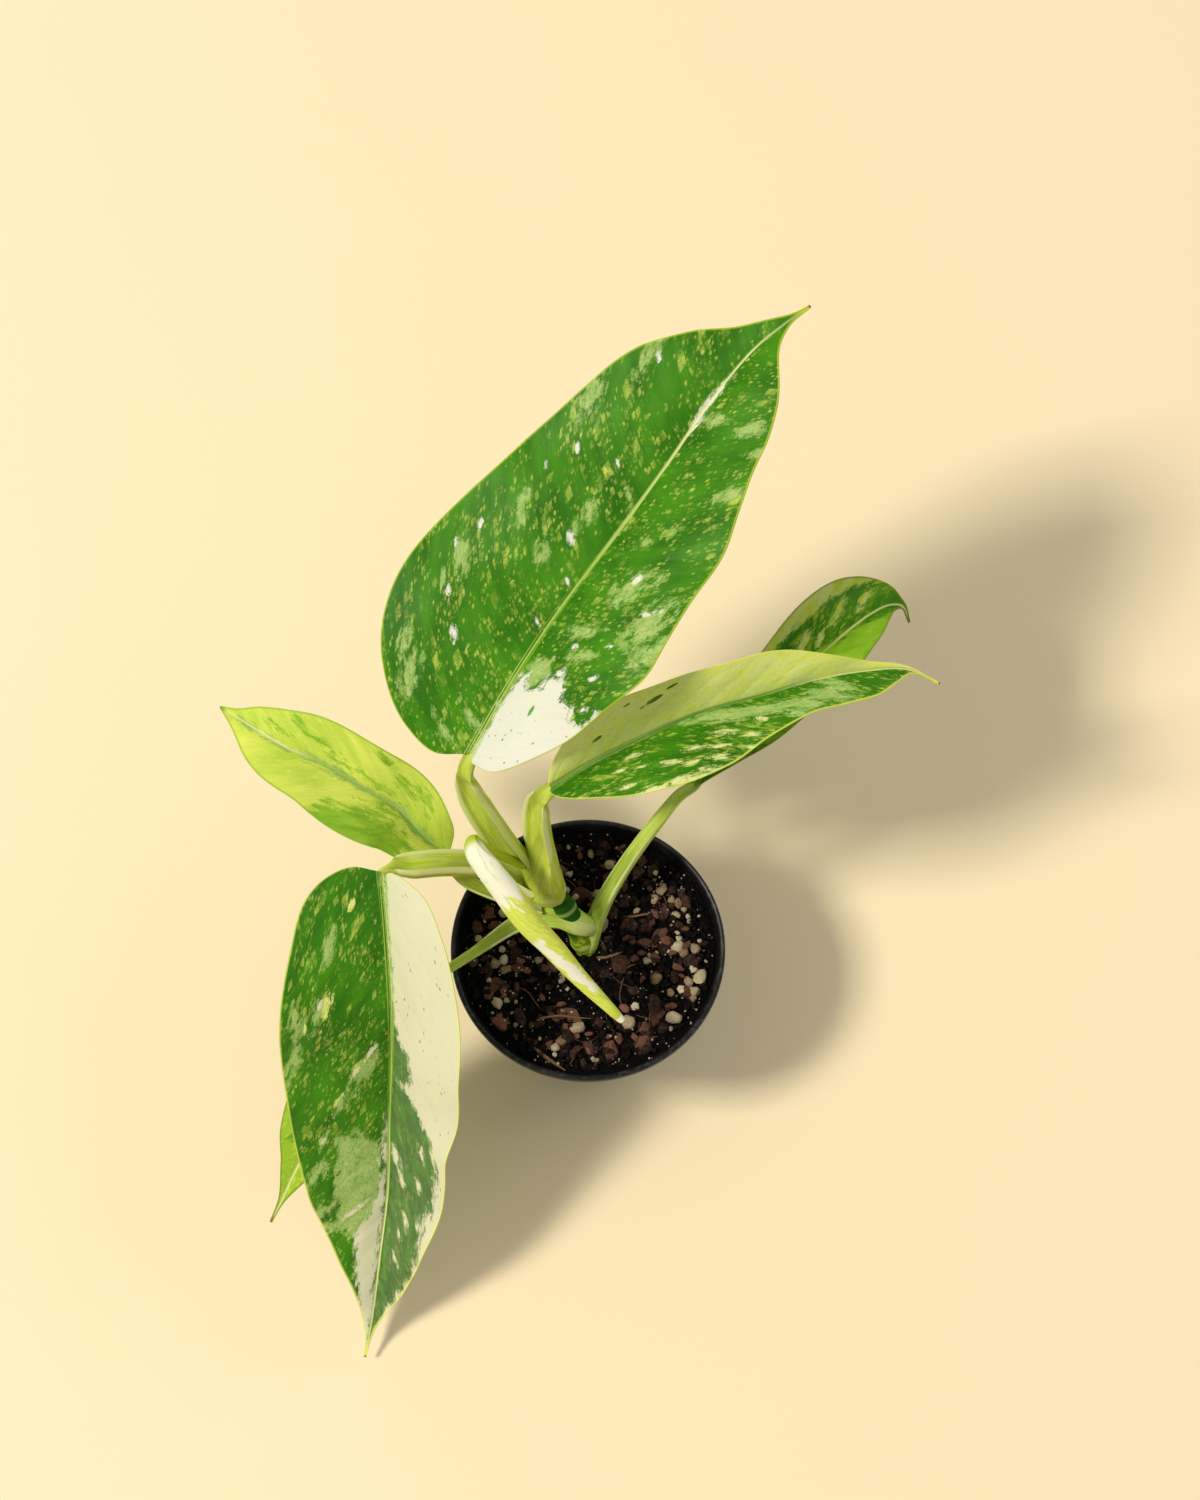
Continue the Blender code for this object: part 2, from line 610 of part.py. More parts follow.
def bark_chip(draw, index, taken):
    """An angular chip of bark, lying half sunk in the mix."""
    x, y = scatter(draw, BARK_REACH, BARK_ROOM, taken)
    size = Vector((draw.uniform(5, 9), draw.uniform(3.5, 6), draw.uniform(2.5, 3.5))) * MM
    turn = Euler((draw.uniform(-0.4, 0.4), draw.uniform(-0.4, 0.4), draw.uniform(0, math.pi)))
    place = Matrix.Translation((x, y, soil_height(x, y) + 0.1 * size.z)) @ turn.to_matrix().to_4x4()
    bm = bmesh.new()
    bmesh.ops.create_cube(bm, size=1)
    for vert in bm.verts:
        jog = Vector([draw.uniform(0.78, 1.1) for _ in range(3)])
        vert.co = place @ Vector([c * s * j for c, s, j in zip(vert.co, size, jog)])
    return make_object(f"bark_{index}", bm)


def pumice_grain(draw, index, taken):
    """A rounded grain of pumice or perlite, sunk by a third."""
    x, y = scatter(draw, PUMICE_REACH, PUMICE_ROOM, taken)
    radius = draw.uniform(1.2, 2.2) * MM
    bm = bmesh.new()
    bmesh.ops.create_icosphere(bm, subdivisions=1, radius=radius)
    for vert in bm.verts:
        stretch = draw.uniform(0.82, 1.15)
        vert.co = vert.co * stretch + Vector((x, y, soil_height(x, y) + 0.35 * radius))
    return make_object(f"pumice_{index}", bm)


def build_soil():
    """Potting mix with bark and pumice grown into its top, and a plain hole for the stem."""
    soil = soil_body()
    draw = random.Random(SOIL_SEED)
    taken = []
    grains = [bark_chip(draw, index, taken) for index in range(BARK_CHIPS)]
    grains += [pumice_grain(draw, index, taken) for index in range(PUMICE_GRAINS)]
    combine(soil, "UNION", grains)
    combine(soil, "DIFFERENCE", [stem_object("stem_hole", CLEARANCE / MM)])
    keep_largest_piece(soil)
    finish(soil, smooth_angle=30)


def build_leaf(name, already_there):
    """A blade grown on its stalk, which clasps the stem clear of the pieces that are there before it."""
    leaf = blade_object(name)
    combine(leaf, "UNION", [loft_object("stalk", stalk_rings(name))])
    grown = CLEARANCE / MM
    cutters = [stem_object("stem_space", grown), rolled_object("rolled_space", grown)]
    for other in already_there:
        cutters.append(loft_object(f"space_{other}", stalk_rings(other, grown)))
    combine(leaf, "DIFFERENCE", cutters)
    keep_largest_piece(leaf)
    finish(leaf, smooth_angle=50)


def build_rolled_leaf():
    """The youngest leaf, still rolled, which leaves the sheath of the largest leaf's stalk."""
    finish(rolled_object("leaf_rolled"), smooth_angle=40)


def build_stem():
    """The stem and its foot."""
    finish(stem_object("stem"), smooth_angle=50)


def main():
    """Build every part of the potted plant."""
    clear_scene()
    build_pot()
    build_soil()
    build_stem()
    for index, name in enumerate(CROWN_ORDER):
        build_leaf(name, CROWN_ORDER[:index])
    build_rolled_leaf()


main()
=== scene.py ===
"""Looks of a potted variegated philodendron, laid out as an add-on and run as a script.

Every piece is built over its solid, in the solids' own frame: metres, +Z up, with the origin at the
centre of the pot's base. The tables below give lengths in millimetres.
"""

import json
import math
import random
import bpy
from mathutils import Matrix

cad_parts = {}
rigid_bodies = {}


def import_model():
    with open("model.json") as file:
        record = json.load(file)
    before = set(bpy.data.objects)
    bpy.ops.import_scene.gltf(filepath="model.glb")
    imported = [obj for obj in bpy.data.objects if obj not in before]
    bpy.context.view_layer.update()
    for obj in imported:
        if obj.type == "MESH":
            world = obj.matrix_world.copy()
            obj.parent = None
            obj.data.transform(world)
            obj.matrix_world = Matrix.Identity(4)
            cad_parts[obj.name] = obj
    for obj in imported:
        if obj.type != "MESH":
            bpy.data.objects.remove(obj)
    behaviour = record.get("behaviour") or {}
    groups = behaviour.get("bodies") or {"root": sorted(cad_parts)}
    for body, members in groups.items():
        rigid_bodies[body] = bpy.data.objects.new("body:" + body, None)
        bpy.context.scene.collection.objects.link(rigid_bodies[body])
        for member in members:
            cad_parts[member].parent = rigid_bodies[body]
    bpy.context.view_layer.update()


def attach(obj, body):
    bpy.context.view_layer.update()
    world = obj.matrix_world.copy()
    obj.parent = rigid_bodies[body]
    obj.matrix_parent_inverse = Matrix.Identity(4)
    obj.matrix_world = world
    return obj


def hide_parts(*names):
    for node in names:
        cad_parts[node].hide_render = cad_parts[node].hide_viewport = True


bl_info = {
    "name": "Potted Philodendron",
    "version": (1, 0, 0),
    "blender": (4, 5, 0),
    "location": "3D View > Sidebar > Plant",
    "description": "Builds the leaves, stalks, mix and pot of a variegated philodendron",
    "category": "Object",
}

from collections import namedtuple

import bmesh
import bpy
import numpy as np
from bpy.props import EnumProperty, FloatProperty, FloatVectorProperty, IntProperty, PointerProperty
from mathutils import Euler, Matrix, Vector, noise

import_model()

MM = 0.001

# Blades
BLADE_STEPS = 44  # faces from the midrib to each margin
MIDRIB_CROWDING = 1.45  # above 1, faces crowd towards the midrib
TIP_CROWDING = 1.3  # above 1, cross rows crowd towards the tip
TIP_HALF_WIDTH = 0.5
SHEET_GAP = 0.1  # between the two layers of a flat sheet, before it is shaped
BLADE_ARCH = 0.05  # rise of the middle of each half, as a share of its width
RIB_BLEND = 2.0  # how far from the midrib the directions of the two halves blend
RIPPLE_LENGTH = 7.5  # along a margin for each radian of its wave
VEIN_SWEEP = 1.4  # above 1, the feet of the cross rows crowd towards the base
VEIN_BEND = 0.42  # added to the lean of a vein where it meets the widest margin

# Relief of the blades: the channel over the midrib and the keel below it, which both taper to the tip,
# the furrows over the main veins, low lumps, and the breadth over which the margin grows thin
RIB_TAPER = 0.75
CHANNEL_DEPTH = 0.5
CHANNEL_WIDTH = 1.3
KEEL_DEPTH = 1.9
KEEL_TAPER = 0.7
KEEL_TIP_WIDTH = 0.6
KEEL_WIDTH = 1.5
FURROW_START = 4.0
FURROW_END = 5.0
LUMP_SPACING = 16.0
LUMP_HEIGHT = 0.8
LUMP_START = 8.0
LUMP_LAYER = 3.7
THIN_MARGIN = 8.0

# Depth of the markings, which is how far inside their edge a place lies
MARK_REACH = 6.0  # the greatest depth that is kept, inside or outside
SPOT_DEPTH = 2.7  # at the middle of a spot
LARGE_TEAR = 3.4  # how far the large blocks move an edge in or out, from end to end
SMALL_TEAR = 1.4
EDGE_BLUR = 0.04
RIB_LINES = 6.5  # radians for each millimetre across the midrib: lines about 1 mm apart

# Each blade: points of its midrib from base to tip, the rise of its two halves in degrees at base,
# middle and tip, its two margins as (along the midrib, out from it), the height of its ripples, the
# number of its cross rows, the distance between its main lateral veins and how far those lean.
Blade = namedtuple("Blade", "midrib rise_left rise_right left right wave rows vein_gap lean")

# Each stalk: its route, the direction that its channelled upper side faces, and its sections as
# (fraction of its length, half width, half depth, hollowness of the upper side).
Stalk = namedtuple("Stalk", "route facing sections")

BLADES = {
    "leaf_large_back": Blade(
        midrib=[(-44, 61, 166), (-29, 84, 179), (-10, 108, 197), (12, 132, 216), (30, 153, 231),
                (45, 172, 243), (60, 188, 251), (71, 196, 255), (80, 202, 257)],
        rise_left=(10, 8, 8),
        rise_right=(26, 26, 24),
        left=[(-2, 2.5), (-7, 13), (-1, 31), (14, 46), (30, 55), (46, 58), (77, 53.5), (118, 45.5),
              (155, 36), (175, 22), (187, 10), (198, 4), (204, 1.5)],
        right=[(-3, 3), (0, 14), (20, 31), (47, 42.5), (66, 48.5), (87, 49), (123, 43), (163, 30),
               (182, 20), (195, 6), (202, 1.5)],
        wave=1.6,
        rows=260,
        vein_gap=9.0,
        lean=0.49,
    ),
    "leaf_folded_right": Blade(
        midrib=[(-14, 49, 160), (1, 57, 166), (20, 65, 173), (42, 73, 180), (64, 78, 185),
                (87, 84, 188), (105, 87, 188), (119, 88, 186), (132, 84, 181)],
        rise_left=(60, 60, 50),
        rise_right=(32, 28, 22),
        left=[(0, 1.5), (5, 8), (18, 17.5), (33, 22.5), (56, 21.5), (84, 20.5), (99, 18), (115, 11),
              (129, 4), (145, 1.2)],
        right=[(-1, 2), (2, 7), (13, 16), (35, 26), (53, 31), (72, 29), (88, 21), (103, 16), (118, 14),
               (130, 12), (139, 7), (147, 1.5)],
        wave=0.8,
        rows=170,
        vein_gap=13.0,
        lean=1.15,
    ),
    "leaf_small_right": Blade(
        midrib=[(41, 56, 138), (54, 70, 145), (70, 85, 151), (92, 105, 155), (108, 119, 153),
                (118, 125.5, 148.5), (124, 126.5, 143), (127, 122, 137.5)],
        rise_left=(25, 25, 20),
        rise_right=(38, 38, 34),
        left=[(0, 2), (8, 8), (24, 13), (52, 16.5), (76, 20.5), (91, 19), (101, 14.5), (108, 8),
              (113, 3), (118, 1.2)],
        right=[(0, 2), (6, 5), (18, 11), (38, 18), (60, 20.5), (78, 17.5), (92, 13), (100, 8), (107, 4),
               (115, 1.2)],
        wave=0.6,
        rows=140,
        vein_gap=10.0,
        lean=0.9,
    ),
    "leaf_yellow_left": Blade(
        midrib=[(-56, 33, 120), (-64, 38, 127), (-74, 47, 136), (-86, 53, 143), (-103, 62, 149),
                (-115, 67, 151), (-130, 76, 151), (-142, 84, 149)],
        rise_left=(18, 18, 15),
        rise_right=(38, 36, 30),
        left=[(0, 2), (3, 9), (15, 15), (30, 20), (49, 22), (65, 20), (77, 17), (88, 12), (99, 5)],
        right=[(-1, 2), (6, 11), (21, 16.5), (42, 18.5), (64, 17.5), (78, 15.5), (93, 9), (102, 3)],
        wave=0.8,
        rows=130,
        vein_gap=10.0,
        lean=1.1,
    ),
    "leaf_hanging_front": Blade(
        midrib=[(-79, 21, 138), (-77, -1, 134), (-76, -26, 120), (-77, -46, 101), (-79, -67, 80),
                (-81, -93, 57), (-85, -115, 37), (-89, -138, 19), (-93, -157, 7)],
        rise_left=(36, 38, 34),
        rise_right=(16, 12, 8),
        left=[(-1, 2), (4, 10), (13, 20), (26, 28), (43, 32), (61, 36), (84, 36), (110, 33),
              (135, 29.5), (160, 24.5), (186, 15), (206, 5), (217, 1.2)],
        right=[(-1, 3), (-3, 12), (1, 23), (10, 31.5), (26, 37.5), (50, 43), (75, 43), (101, 40),
               (127, 36), (155, 29), (180, 17), (197, 8), (211, 3), (218, 1.2)],
        wave=1.4,
        rows=260,
        vein_gap=13.0,
        lean=0.95,
    ),
    "leaf_small_front": Blade(
        midrib=[(-73, -23, 96), (-82, -36, 88), (-95.5, -52, 74), (-108.5, -68, 59), (-120, -84, 46),
                (-127, -96.5, 36), (-131, -103.5, 32)],
        rise_left=(10, 10, 12),
        rise_right=(16, 14, 12),
        left=[(0, 2), (5, 8), (16, 13), (34, 15), (54, 14), (74, 11), (93, 6), (109, 1.2)],
        right=[(0, 2), (4, 8), (13, 14), (33, 19), (58, 19), (78, 14), (91, 7), (105, 2)],
        wave=0.6,
        rows=120,
        vein_gap=10.0,
        lean=1.0,
    ),
}

STALKS = {
    "leaf_large_back": Stalk(
        route=[(-17, 19, 101), (-29, 28, 117), (-38, 38, 133), (-45, 48, 147), (-47, 55, 157)],
        facing=(-0.66, -0.3, 0.68),
        sections=[(0, 3, 3, -0.3), (0.03, 6, 5.6, -0.2), (0.1, 8.4, 7.6, 0.1), (0.3, 8.6, 7.6, 0.4),
                  (0.62, 7.6, 6.6, 0.55), (0.74, 6, 5, 0.5), (0.8, 3.8, 3.6, 0), (0.92, 3, 3, -0.3),
                  (1, 1.7, 1.6, -0.3)],
    ),
    "leaf_folded_right": Stalk(
        route=[(-14.5, 16, 105), (-17.5, 21.5, 113), (-19.5, 30, 129), (-20.5, 40, 144),
               (-18.5, 46, 153)],
        facing=(-0.7, -0.1, 0.7),
        sections=[(0, 3.6, 3.2, -0.6), (0.03, 7, 6.4, -0.7), (0.09, 9.2, 8, -0.8), (0.2, 9.8, 8.2, -0.7),
                  (0.34, 9.4, 7.4, -0.1), (0.46, 8.6, 6.6, 0.35), (0.62, 8, 6, 0.55), (0.73, 6.8, 5, 0.5),
                  (0.8, 4.2, 3.6, 0.2), (0.9, 2.8, 2.8, -0.3), (1, 1.7, 1.6, -0.3)],
    ),
    "leaf_hanging_front": Stalk(
        route=[(-22, 22, 111), (-38, 28, 123), (-53, 27.5, 132), (-67, 25, 138), (-75, 23.5, 139.5)],
        facing=(0, 0.68, 0.73),
        sections=[(0, 7.5, 6.5, 0.4), (0.3, 7.2, 6.8, 0.5), (0.72, 6.8, 6.4, 0.5), (0.79, 5.6, 5, 0.4),
                  (0.84, 3.2, 3.2, 0), (0.92, 2.4, 2.4, -0.3), (1, 1.6, 1.6, -0.3)],
    ),
    "leaf_yellow_left": Stalk(
        route=[(-18, 16, 102), (-37, 19, 110), (-48, 23, 114), (-54, 29, 117.5)],
        facing=(0, 0.2, 1),
        sections=[(0, 4.5, 4, 0.3), (0.5, 3, 3, 0.3), (0.85, 2.3, 2.3, -0.2), (1, 1.5, 1.5, -0.3)],
    ),
    "leaf_small_front": Stalk(
        route=[(2.5, 7.5, 92.5), (-3.5, 9.5, 96.5), (-10.5, 12, 99), (-18.5, 12, 100), (-29, 7.5, 102),
               (-43, -3, 106), (-55, -11, 106), (-66, -18, 102)],
        facing=(0, 0.3, 1),
        sections=[(0, 2.4, 2.2, -0.8), (0.03, 4.4, 4, -0.8), (0.09, 5.8, 4.8, -0.6), (0.2, 5.8, 4.6, -0.2),
                  (0.29, 4.2, 3.2, 0.4), (0.45, 3, 2.4, 0.4), (0.56, 2.2, 2.1, 0), (0.9, 1.7, 1.7, -0.3),
                  (1, 1.4, 1.4, -0.3)],
    ),
    "leaf_small_right": Stalk(
        route=[(-0.5, 1.5, 79), (-0.5, 4.5, 85), (1, 9, 90), (3.2, 13.5, 94.5), (7.3, 20.5, 100),
               (15.5, 31.5, 112), (26.5, 43.5, 127), (35.5, 52.5, 135.5)],
        facing=(-0.5, 0.35, 0.8),
        sections=[(0, 4, 4, -0.8), (0.06, 5.2, 5, -0.7), (0.14, 5.2, 4.8, -0.5), (0.22, 4.8, 4.2, 0),
                  (0.32, 4.5, 3.5, 0.3), (0.7, 3.6, 3, 0.2), (0.92, 2.8, 2.6, -0.3), (1, 1.6, 1.6, -0.3)],
    ),
}

# Stalks: the young ones, drawn in spring green, which on the small right leaf's stalk is painted light in
# place of the sun that the leaves above keep off it; their faces, the length that their pattern runs over,
# how they sit under the blade, and the wings along their channel
YOUNG_STALKS_WITH_PAINTED_LIGHT = ("leaf_small_right", "leaf_small_front")
STALK_ROWS = 64
STALK_OUTER_POINTS = 19
STALK_INNER_POINTS = 15
STALK_PATTERN = 60.0
SEAT_LENGTH = 7.0
SEAT_DROP = 1.9
WING_LIFT = 0.4
WING_EDGE = 0.6
WING_CURL = 1.1
WING_FOLD = 0.4
WING_SHARPNESS = 6

# Markings of the blades, by kind: each kind lies over those before it, and the bits are cream too.
# Sectors are closed outlines of (foot on the midrib, distance out from it). Spots are rows of the foot
# and the distance out of their middle, their reach along the veins and their breadth across them.
# Distances out are positive to the right of the midrib.
KINDS = ("pale", "grey", "cream", "green", "bits")
SECTORS = {
    "leaf_large_back": {
        "cream": [[(-9, 0.8), (20, 0.8), (36, 2), (38, 5), (32, 9), (34, 14), (41, 16), (41, 23),
                   (35, 25), (33, 32), (28, 33), (30, 39), (37, 42), (41, 60), (-9, 60)]],
        "grey": [[(30, 3), (44, 4), (48, 10), (40, 14), (31, 9)]],
    },
    "leaf_folded_right": {
        "pale": [[(-9, -0.5), (160, -0.5), (160, -60), (-9, -60)]],
        "grey": [[(54, 2), (60, 6), (70, 10), (82, 10), (92, 13), (100, 14), (96, 8), (84, 5), (70, 1)]],
    },
    "leaf_small_right": {
        "pale": [[(-9, -60), (-9, -10), (43, -14), (60, -15), (76, -14), (90, -12), (100, -9), (112, -5),
                  (130, -4), (130, -60)]],
        "green": [[(20, -1), (60, -3), (90, 2), (100, 8), (90, 60), (20, 60)]],
    },
    "leaf_yellow_left": {
        "green": [[(8, -30), (46, -30), (47, -15), (38, -9), (22, -6), (10, -8)]],
        "grey": [[(8, -1.6), (60, -1.2), (98, -0.6), (98, 0.6), (60, 1.4), (8, 1.8)]],
    },
    "leaf_hanging_front": {
        "cream": [[(-9, -0.8), (230, -0.8), (230, -60), (-9, -60)],
                  [(100, -1), (104, 1.5), (124, 4), (130, 2), (148, 6), (158, 11), (183, 8.5), (204, 5),
                   (226, 3), (226, -1)]],
        "grey": [[(104, 22), (108, 10), (118, 3), (160, 2), (160, 12), (152, 19), (128, 21)]],
        "green": [[(58, 1), (60, -2), (65, -6), (65, -10), (73, -12), (81, -10), (84, -5), (82, -9),
                   (85, -16), (89, -24), (98, -27), (117, -25), (128, -22), (146, -21), (169, -16),
                   (190, -8), (210, -2), (222, 0.6)]],
    },
    "leaf_small_front": {},
}
SPOTS = {
    "leaf_large_back": {
        "grey": [(79, -34, 4, 3.4), (76, -17, 4, 3), (99, -13, 3.4, 2.8), (114, -4, 2.6, 1.6),
                 (91, -14, 3, 2), (125, -38, 5, 6), (22, -35, 5, 4.4), (28, -42, 4, 3),
                 (47, -42, 3, 1.5), (57, -42, 6, 2.5), (83, 23, 8, 5), (73, 38, 7.5, 6), (63, 46, 6, 4),
                 (62, 17, 7, 2.2), (52, 22, 6, 2), (101, 15, 3, 2), (106, 22, 3, 2), (123, 32, 5, 2),
                 (149, 21, 6, 2), (152, 8, 5, 2.2), (140, 34, 7, 2), (150, -28, 3, 5), (8, -13, 6, 1.6),
                 (14, -6, 6, 1.4)],
        "cream": [(87, -13, 2.3, 1.3), (152, -24, 1.6, 1.2), (44, 19, 3, 1.6), (47, 33, 2.2, 1.2),
                  (46, -38, 2.2, 0.9), (37, -28, 2.4, 1.3), (86, 22, 2.2, 1.4), (57, -46, 1.4, 1),
                  (54, 17, 1.6, 1), (76, -4, 1.8, 0.7), (56, -4, 1.5, 0.6), (160, 0.4, 1.7, 10),
                  (34, 36, 2.2, 0.9), (77, 36, 5, 0.7), (109, -30, 1.5, 0.8), (66, -42, 1.4, 0.9),
                  (97, -36, 1.2, 0.7), (118, -14, 1.8, 0.6), (61, 31, 1.6, 0.8)],
        "green": [(25, 16, 1, 2.6), (22, 20, 0.5, 0.8)],
    },
    "leaf_folded_right": {
        "cream": [(63, 14, 3.2, 1.8), (50, 17, 2.6, 1.7), (57, 20, 2, 1.3), (38, 19, 3.4, 1.5),
                  (32, 8, 2, 1.3), (31, 15, 1.9, 1.1), (55, 25, 3, 1.4), (27, 27, 3.6, 2),
                  (38, 30, 4.4, 2), (21, 20, 1.5, 1), (45, 23, 2, 1.2), (70, 18, 2, 1.1),
                  (48, 29, 3.4, 1.6), (76, 12, 1.7, 1), (24, 12, 1.5, 0.9), (66, 24, 2.6, 1.3)],
        "grey": [(104, 9, 6, 2.8), (112, 5, 6, 2.2), (88, 14, 4, 1.8)],
        "green": [(41, -16, 1.9, 1.7), (46, -18.5, 1.4, 1.1), (31, -19, 0.9, 0.9), (21, -11, 1.4, 1.1),
                  (36, -15, 0.6, 0.6)],
    },
    "leaf_small_right": {
        "pale": [(62, -8, 4, 2.2), (80, -9, 5, 2.4), (70, -5, 3, 1.4), (92, -6, 4, 1.8), (86, 4, 4, 1.5),
                 (52, -7, 3, 1.4)],
    },
    "leaf_yellow_left": {
        "green": [(32, 15, 4, 2), (25, 11, 4, 2), (17, 11, 4, 1.6), (67, 12, 4, 1.6), (60, 7, 3, 2),
                  (80, 5, 2, 2.4), (41, 4, 2, 5), (30, -4, 2, 4)],
    },
    "leaf_hanging_front": {
        "pale": [(43, 26, 4.5, 2.4), (42, 38, 3.4, 1.8), (75, 12, 5.5, 2), (86, 20, 4, 1.6),
                 (22, 22, 3.2, 1.4), (13, 13, 2.4, 1), (104, 27, 2.2, 1.4), (49, 34, 2, 1.2)],
        "grey": [(24, 23, 5, 2.4), (45, 29, 4, 3), (43, 38, 3.4, 2.4), (63, 38, 5, 3.5),
                 (78, 10, 7, 3.6), (88, 19, 4, 2.4), (103, 26, 3, 2), (120, 30, 8, 2.5), (50, 36, 3, 2),
                 (150, 22, 8, 2), (140, 26, 7, 2)],
        "cream": [(70, 8, 2.6, 1.2), (77, 14, 2, 0.9), (104, 26, 1.4, 0.9), (42, 28, 1.8, 1),
                  (145, 12, 6, 0.9)],
        "green": [(110, -33, 1.2, 1.2), (118, -32, 1, 1), (126, -31, 0.7, 0.8), (48, -18, 0.5, 0.5),
                  (30, -12, 0.5, 0.5), (76, -26, 0.5, 0.5), (92, -33, 0.5, 0.7)],
        "bits": [(119, -5, 4, 2.4), (126, -8, 2, 1.6), (140, -13, 2.4, 1.5), (118, -17, 2, 1.6),
                 (150, -10, 1.8, 1.2), (133, -19, 2, 1.5), (165, -9, 2, 1.1), (100, -20, 2, 1.4)],
    },
    "leaf_small_front": {
        "green": [(50, 10, 6, 2), (70, 6, 4, 2)],
    },
}

# Rolled young leaf: its route, its radii as (fraction of its length, radius), the step at the edge of
# its sheet as a share of the radius, its twist in turns, and the length that its pattern runs over
ROLLED_ROUTE = [(-25.5, 28, 120), (-32.5, 29, 129.5), (-37.5, 29.5, 138), (-41, 30, 144.5),
                (-43, 29.5, 149), (-41.5, 25, 151), (-37.5, 20, 150.5), (-31, 11.5, 147), (-23, 1, 142),
                (-14, -7.5, 136), (-4, -17.5, 128), (6, -26.5, 121), (13.5, -33, 116)]
ROLLED_RADII = [(0, 1.8), (0.2, 2.2), (0.245, 2.8), (0.27, 3.7), (0.3, 4.3), (0.36, 5), (0.5, 5.1),
                (0.7, 4.2), (0.86, 3), (0.97, 2), (1, 1.3)]
ROLLED_ROWS = 110
ROLLED_POINTS = 41
ROLLED_SEAM = 0.2
ROLLED_TWIST = 0.9
ROUND_PATTERN = 100.0

# Stem, given like the rolled leaf
STEM_ROUTE = [(0, 1, 60), (0, 1, 76), (-1.5, 3.5, 84), (-5, 9, 94), (-11, 17, 104), (-15, 21, 110)]
STEM_RADII = [(0, 4.4), (0.38, 4.6), (0.46, 5.4), (0.53, 4.7), (0.74, 4.3), (0.78, 4.7), (0.82, 4.3),
              (0.95, 4), (1, 3)]
STEM_ROWS = 72
STEM_POINTS = 36

# Pot
POT_HEIGHT = 92 * MM
RIM_RADIUS = 55 * MM
BASE_RADIUS = 39 * MM
WALL = 1.2 * MM
FLOOR = 1.8 * MM
LIP_HEIGHT = 4.5 * MM
LIP_WIDTH = 2.2 * MM
CENTRE_RADIUS = 14 * MM
COLLAR_HEIGHT = 15 * MM
COLLAR_STEP = 1.4 * MM
OVAL = 0.035
POT_SEGMENTS = 144
DRAIN_HOLES = 6
DRAIN_SIDES = 28
DRAIN_RADIUS = 3.2 * MM
DRAIN_CIRCLE = 30 * MM

# Potting mix: its body, and where it is scooped, bare, or crowded with pumice
CLEARANCE = 0.3 * MM
SOIL_LEVEL = 84 * MM
SOIL_RINGS = 70
STEM_FOOT = (-1.5 * MM, 4 * MM)
STEM_HOLE = 6 * MM
STEM_PIT = 4 * MM
CRUMBLES = ((1.1, 2.6), (0.6, 1.1))  # heights and spacings of the crumbled top
CRUMBLE_DROP = 0.4
SCOOP_PLACE = (8 * MM, -20 * MM)
SCOOP_WIDTH = 17 * MM
SCOOP_DEPTH = 2.2 * MM
MIX_REACH = 49.5 * MM
CRUMBS_CLEAR = 5.5 * MM
GRAINS_CLEAR = 9 * MM
BARE_PLACE = (6 * MM, -17 * MM)
BARE_WIDTH = 19 * MM
PUMICE_PLACE = (36 * MM, 6 * MM)
PUMICE_WIDTH = 16 * MM

# Grains of the mix: (smallest, largest, commonest) sizes, other ranges, and their tilt in radians
CRUMB_SIZES = (0.7, 3.2, 1.1)
BARK_LENGTHS = (1.8, 10, 3.6)
BARK_THICKNESS = (1.4, 3.4)
PUMICE_SIZES = (0.8, 5.2, 1.4)
FIBRE_LENGTHS = (7, 24)
FIBRE_RADII = (0.12, 0.28)
FIBRE_STEPS = 6
GRAIN_TILT = 0.5

# Roots and twigs that stand out of the mix: route and radius
ROOTS = [
    ([(-23, -31, 82), (-20, -28, 86), (-12, -26.5, 87), (-4, -27, 85.5), (2, -27, 83)], 0.45),
    ([(11, 15, 83), (17, 14, 85.5), (24, 15, 86), (31, 14.5, 84.5)], 0.5),
    ([(2, -2, 82), (7, -2.5, 85), (12, -1, 85.5), (15, 1, 83)], 0.6),
    ([(-26, -33, 85), (-19, -41, 85.5), (-9, -48, 84.5)], 0.8),
]

# Stage: the floor, a warm key light at the left, a weak wide fill behind at the right, an even sky, and
# the camera at the photograph's place, tilted up from straight down by this many degrees
FLOOR_REACH = 4.0
LIGHT_TARGET = (0, 0, 0.12)
KEY_PLACE = (-1.7, -0.2, 2.6)
KEY_COLOUR = (1, 0.95, 0.86)
FILL_PLACE = (1.6, 0.9, 1.6)
FILL_SIZE = 1.2
FILL_COLOUR = (1, 0.98, 0.95)
SKY_COLOUR = (1, 0.985, 0.955, 1)
CAMERA_PLACE = (0.0048, -0.1823, 1.0784)
CAMERA_TILT = 15.0
CAMERA_LENS = 60.0
CAMERA_SENSOR = 36.0


def srgb(red, green, blue):
    """A colour given as it is seen, from 0 to 255, as the shader's own linear values."""
    seen = [channel / 255 for channel in (red, green, blue)]
    linear = [value / 12.92 if value <= 0.04045 else ((value + 0.055) / 1.055) ** 2.4 for value in seen]
    return (*linear, 1.0)


def colour_property(name, description, default):
    """A colour that the sidebar shows."""
    return FloatVectorProperty(name=name, description=description, default=default, size=4, min=0, max=1,
                               subtype="COLOR")


# Settings


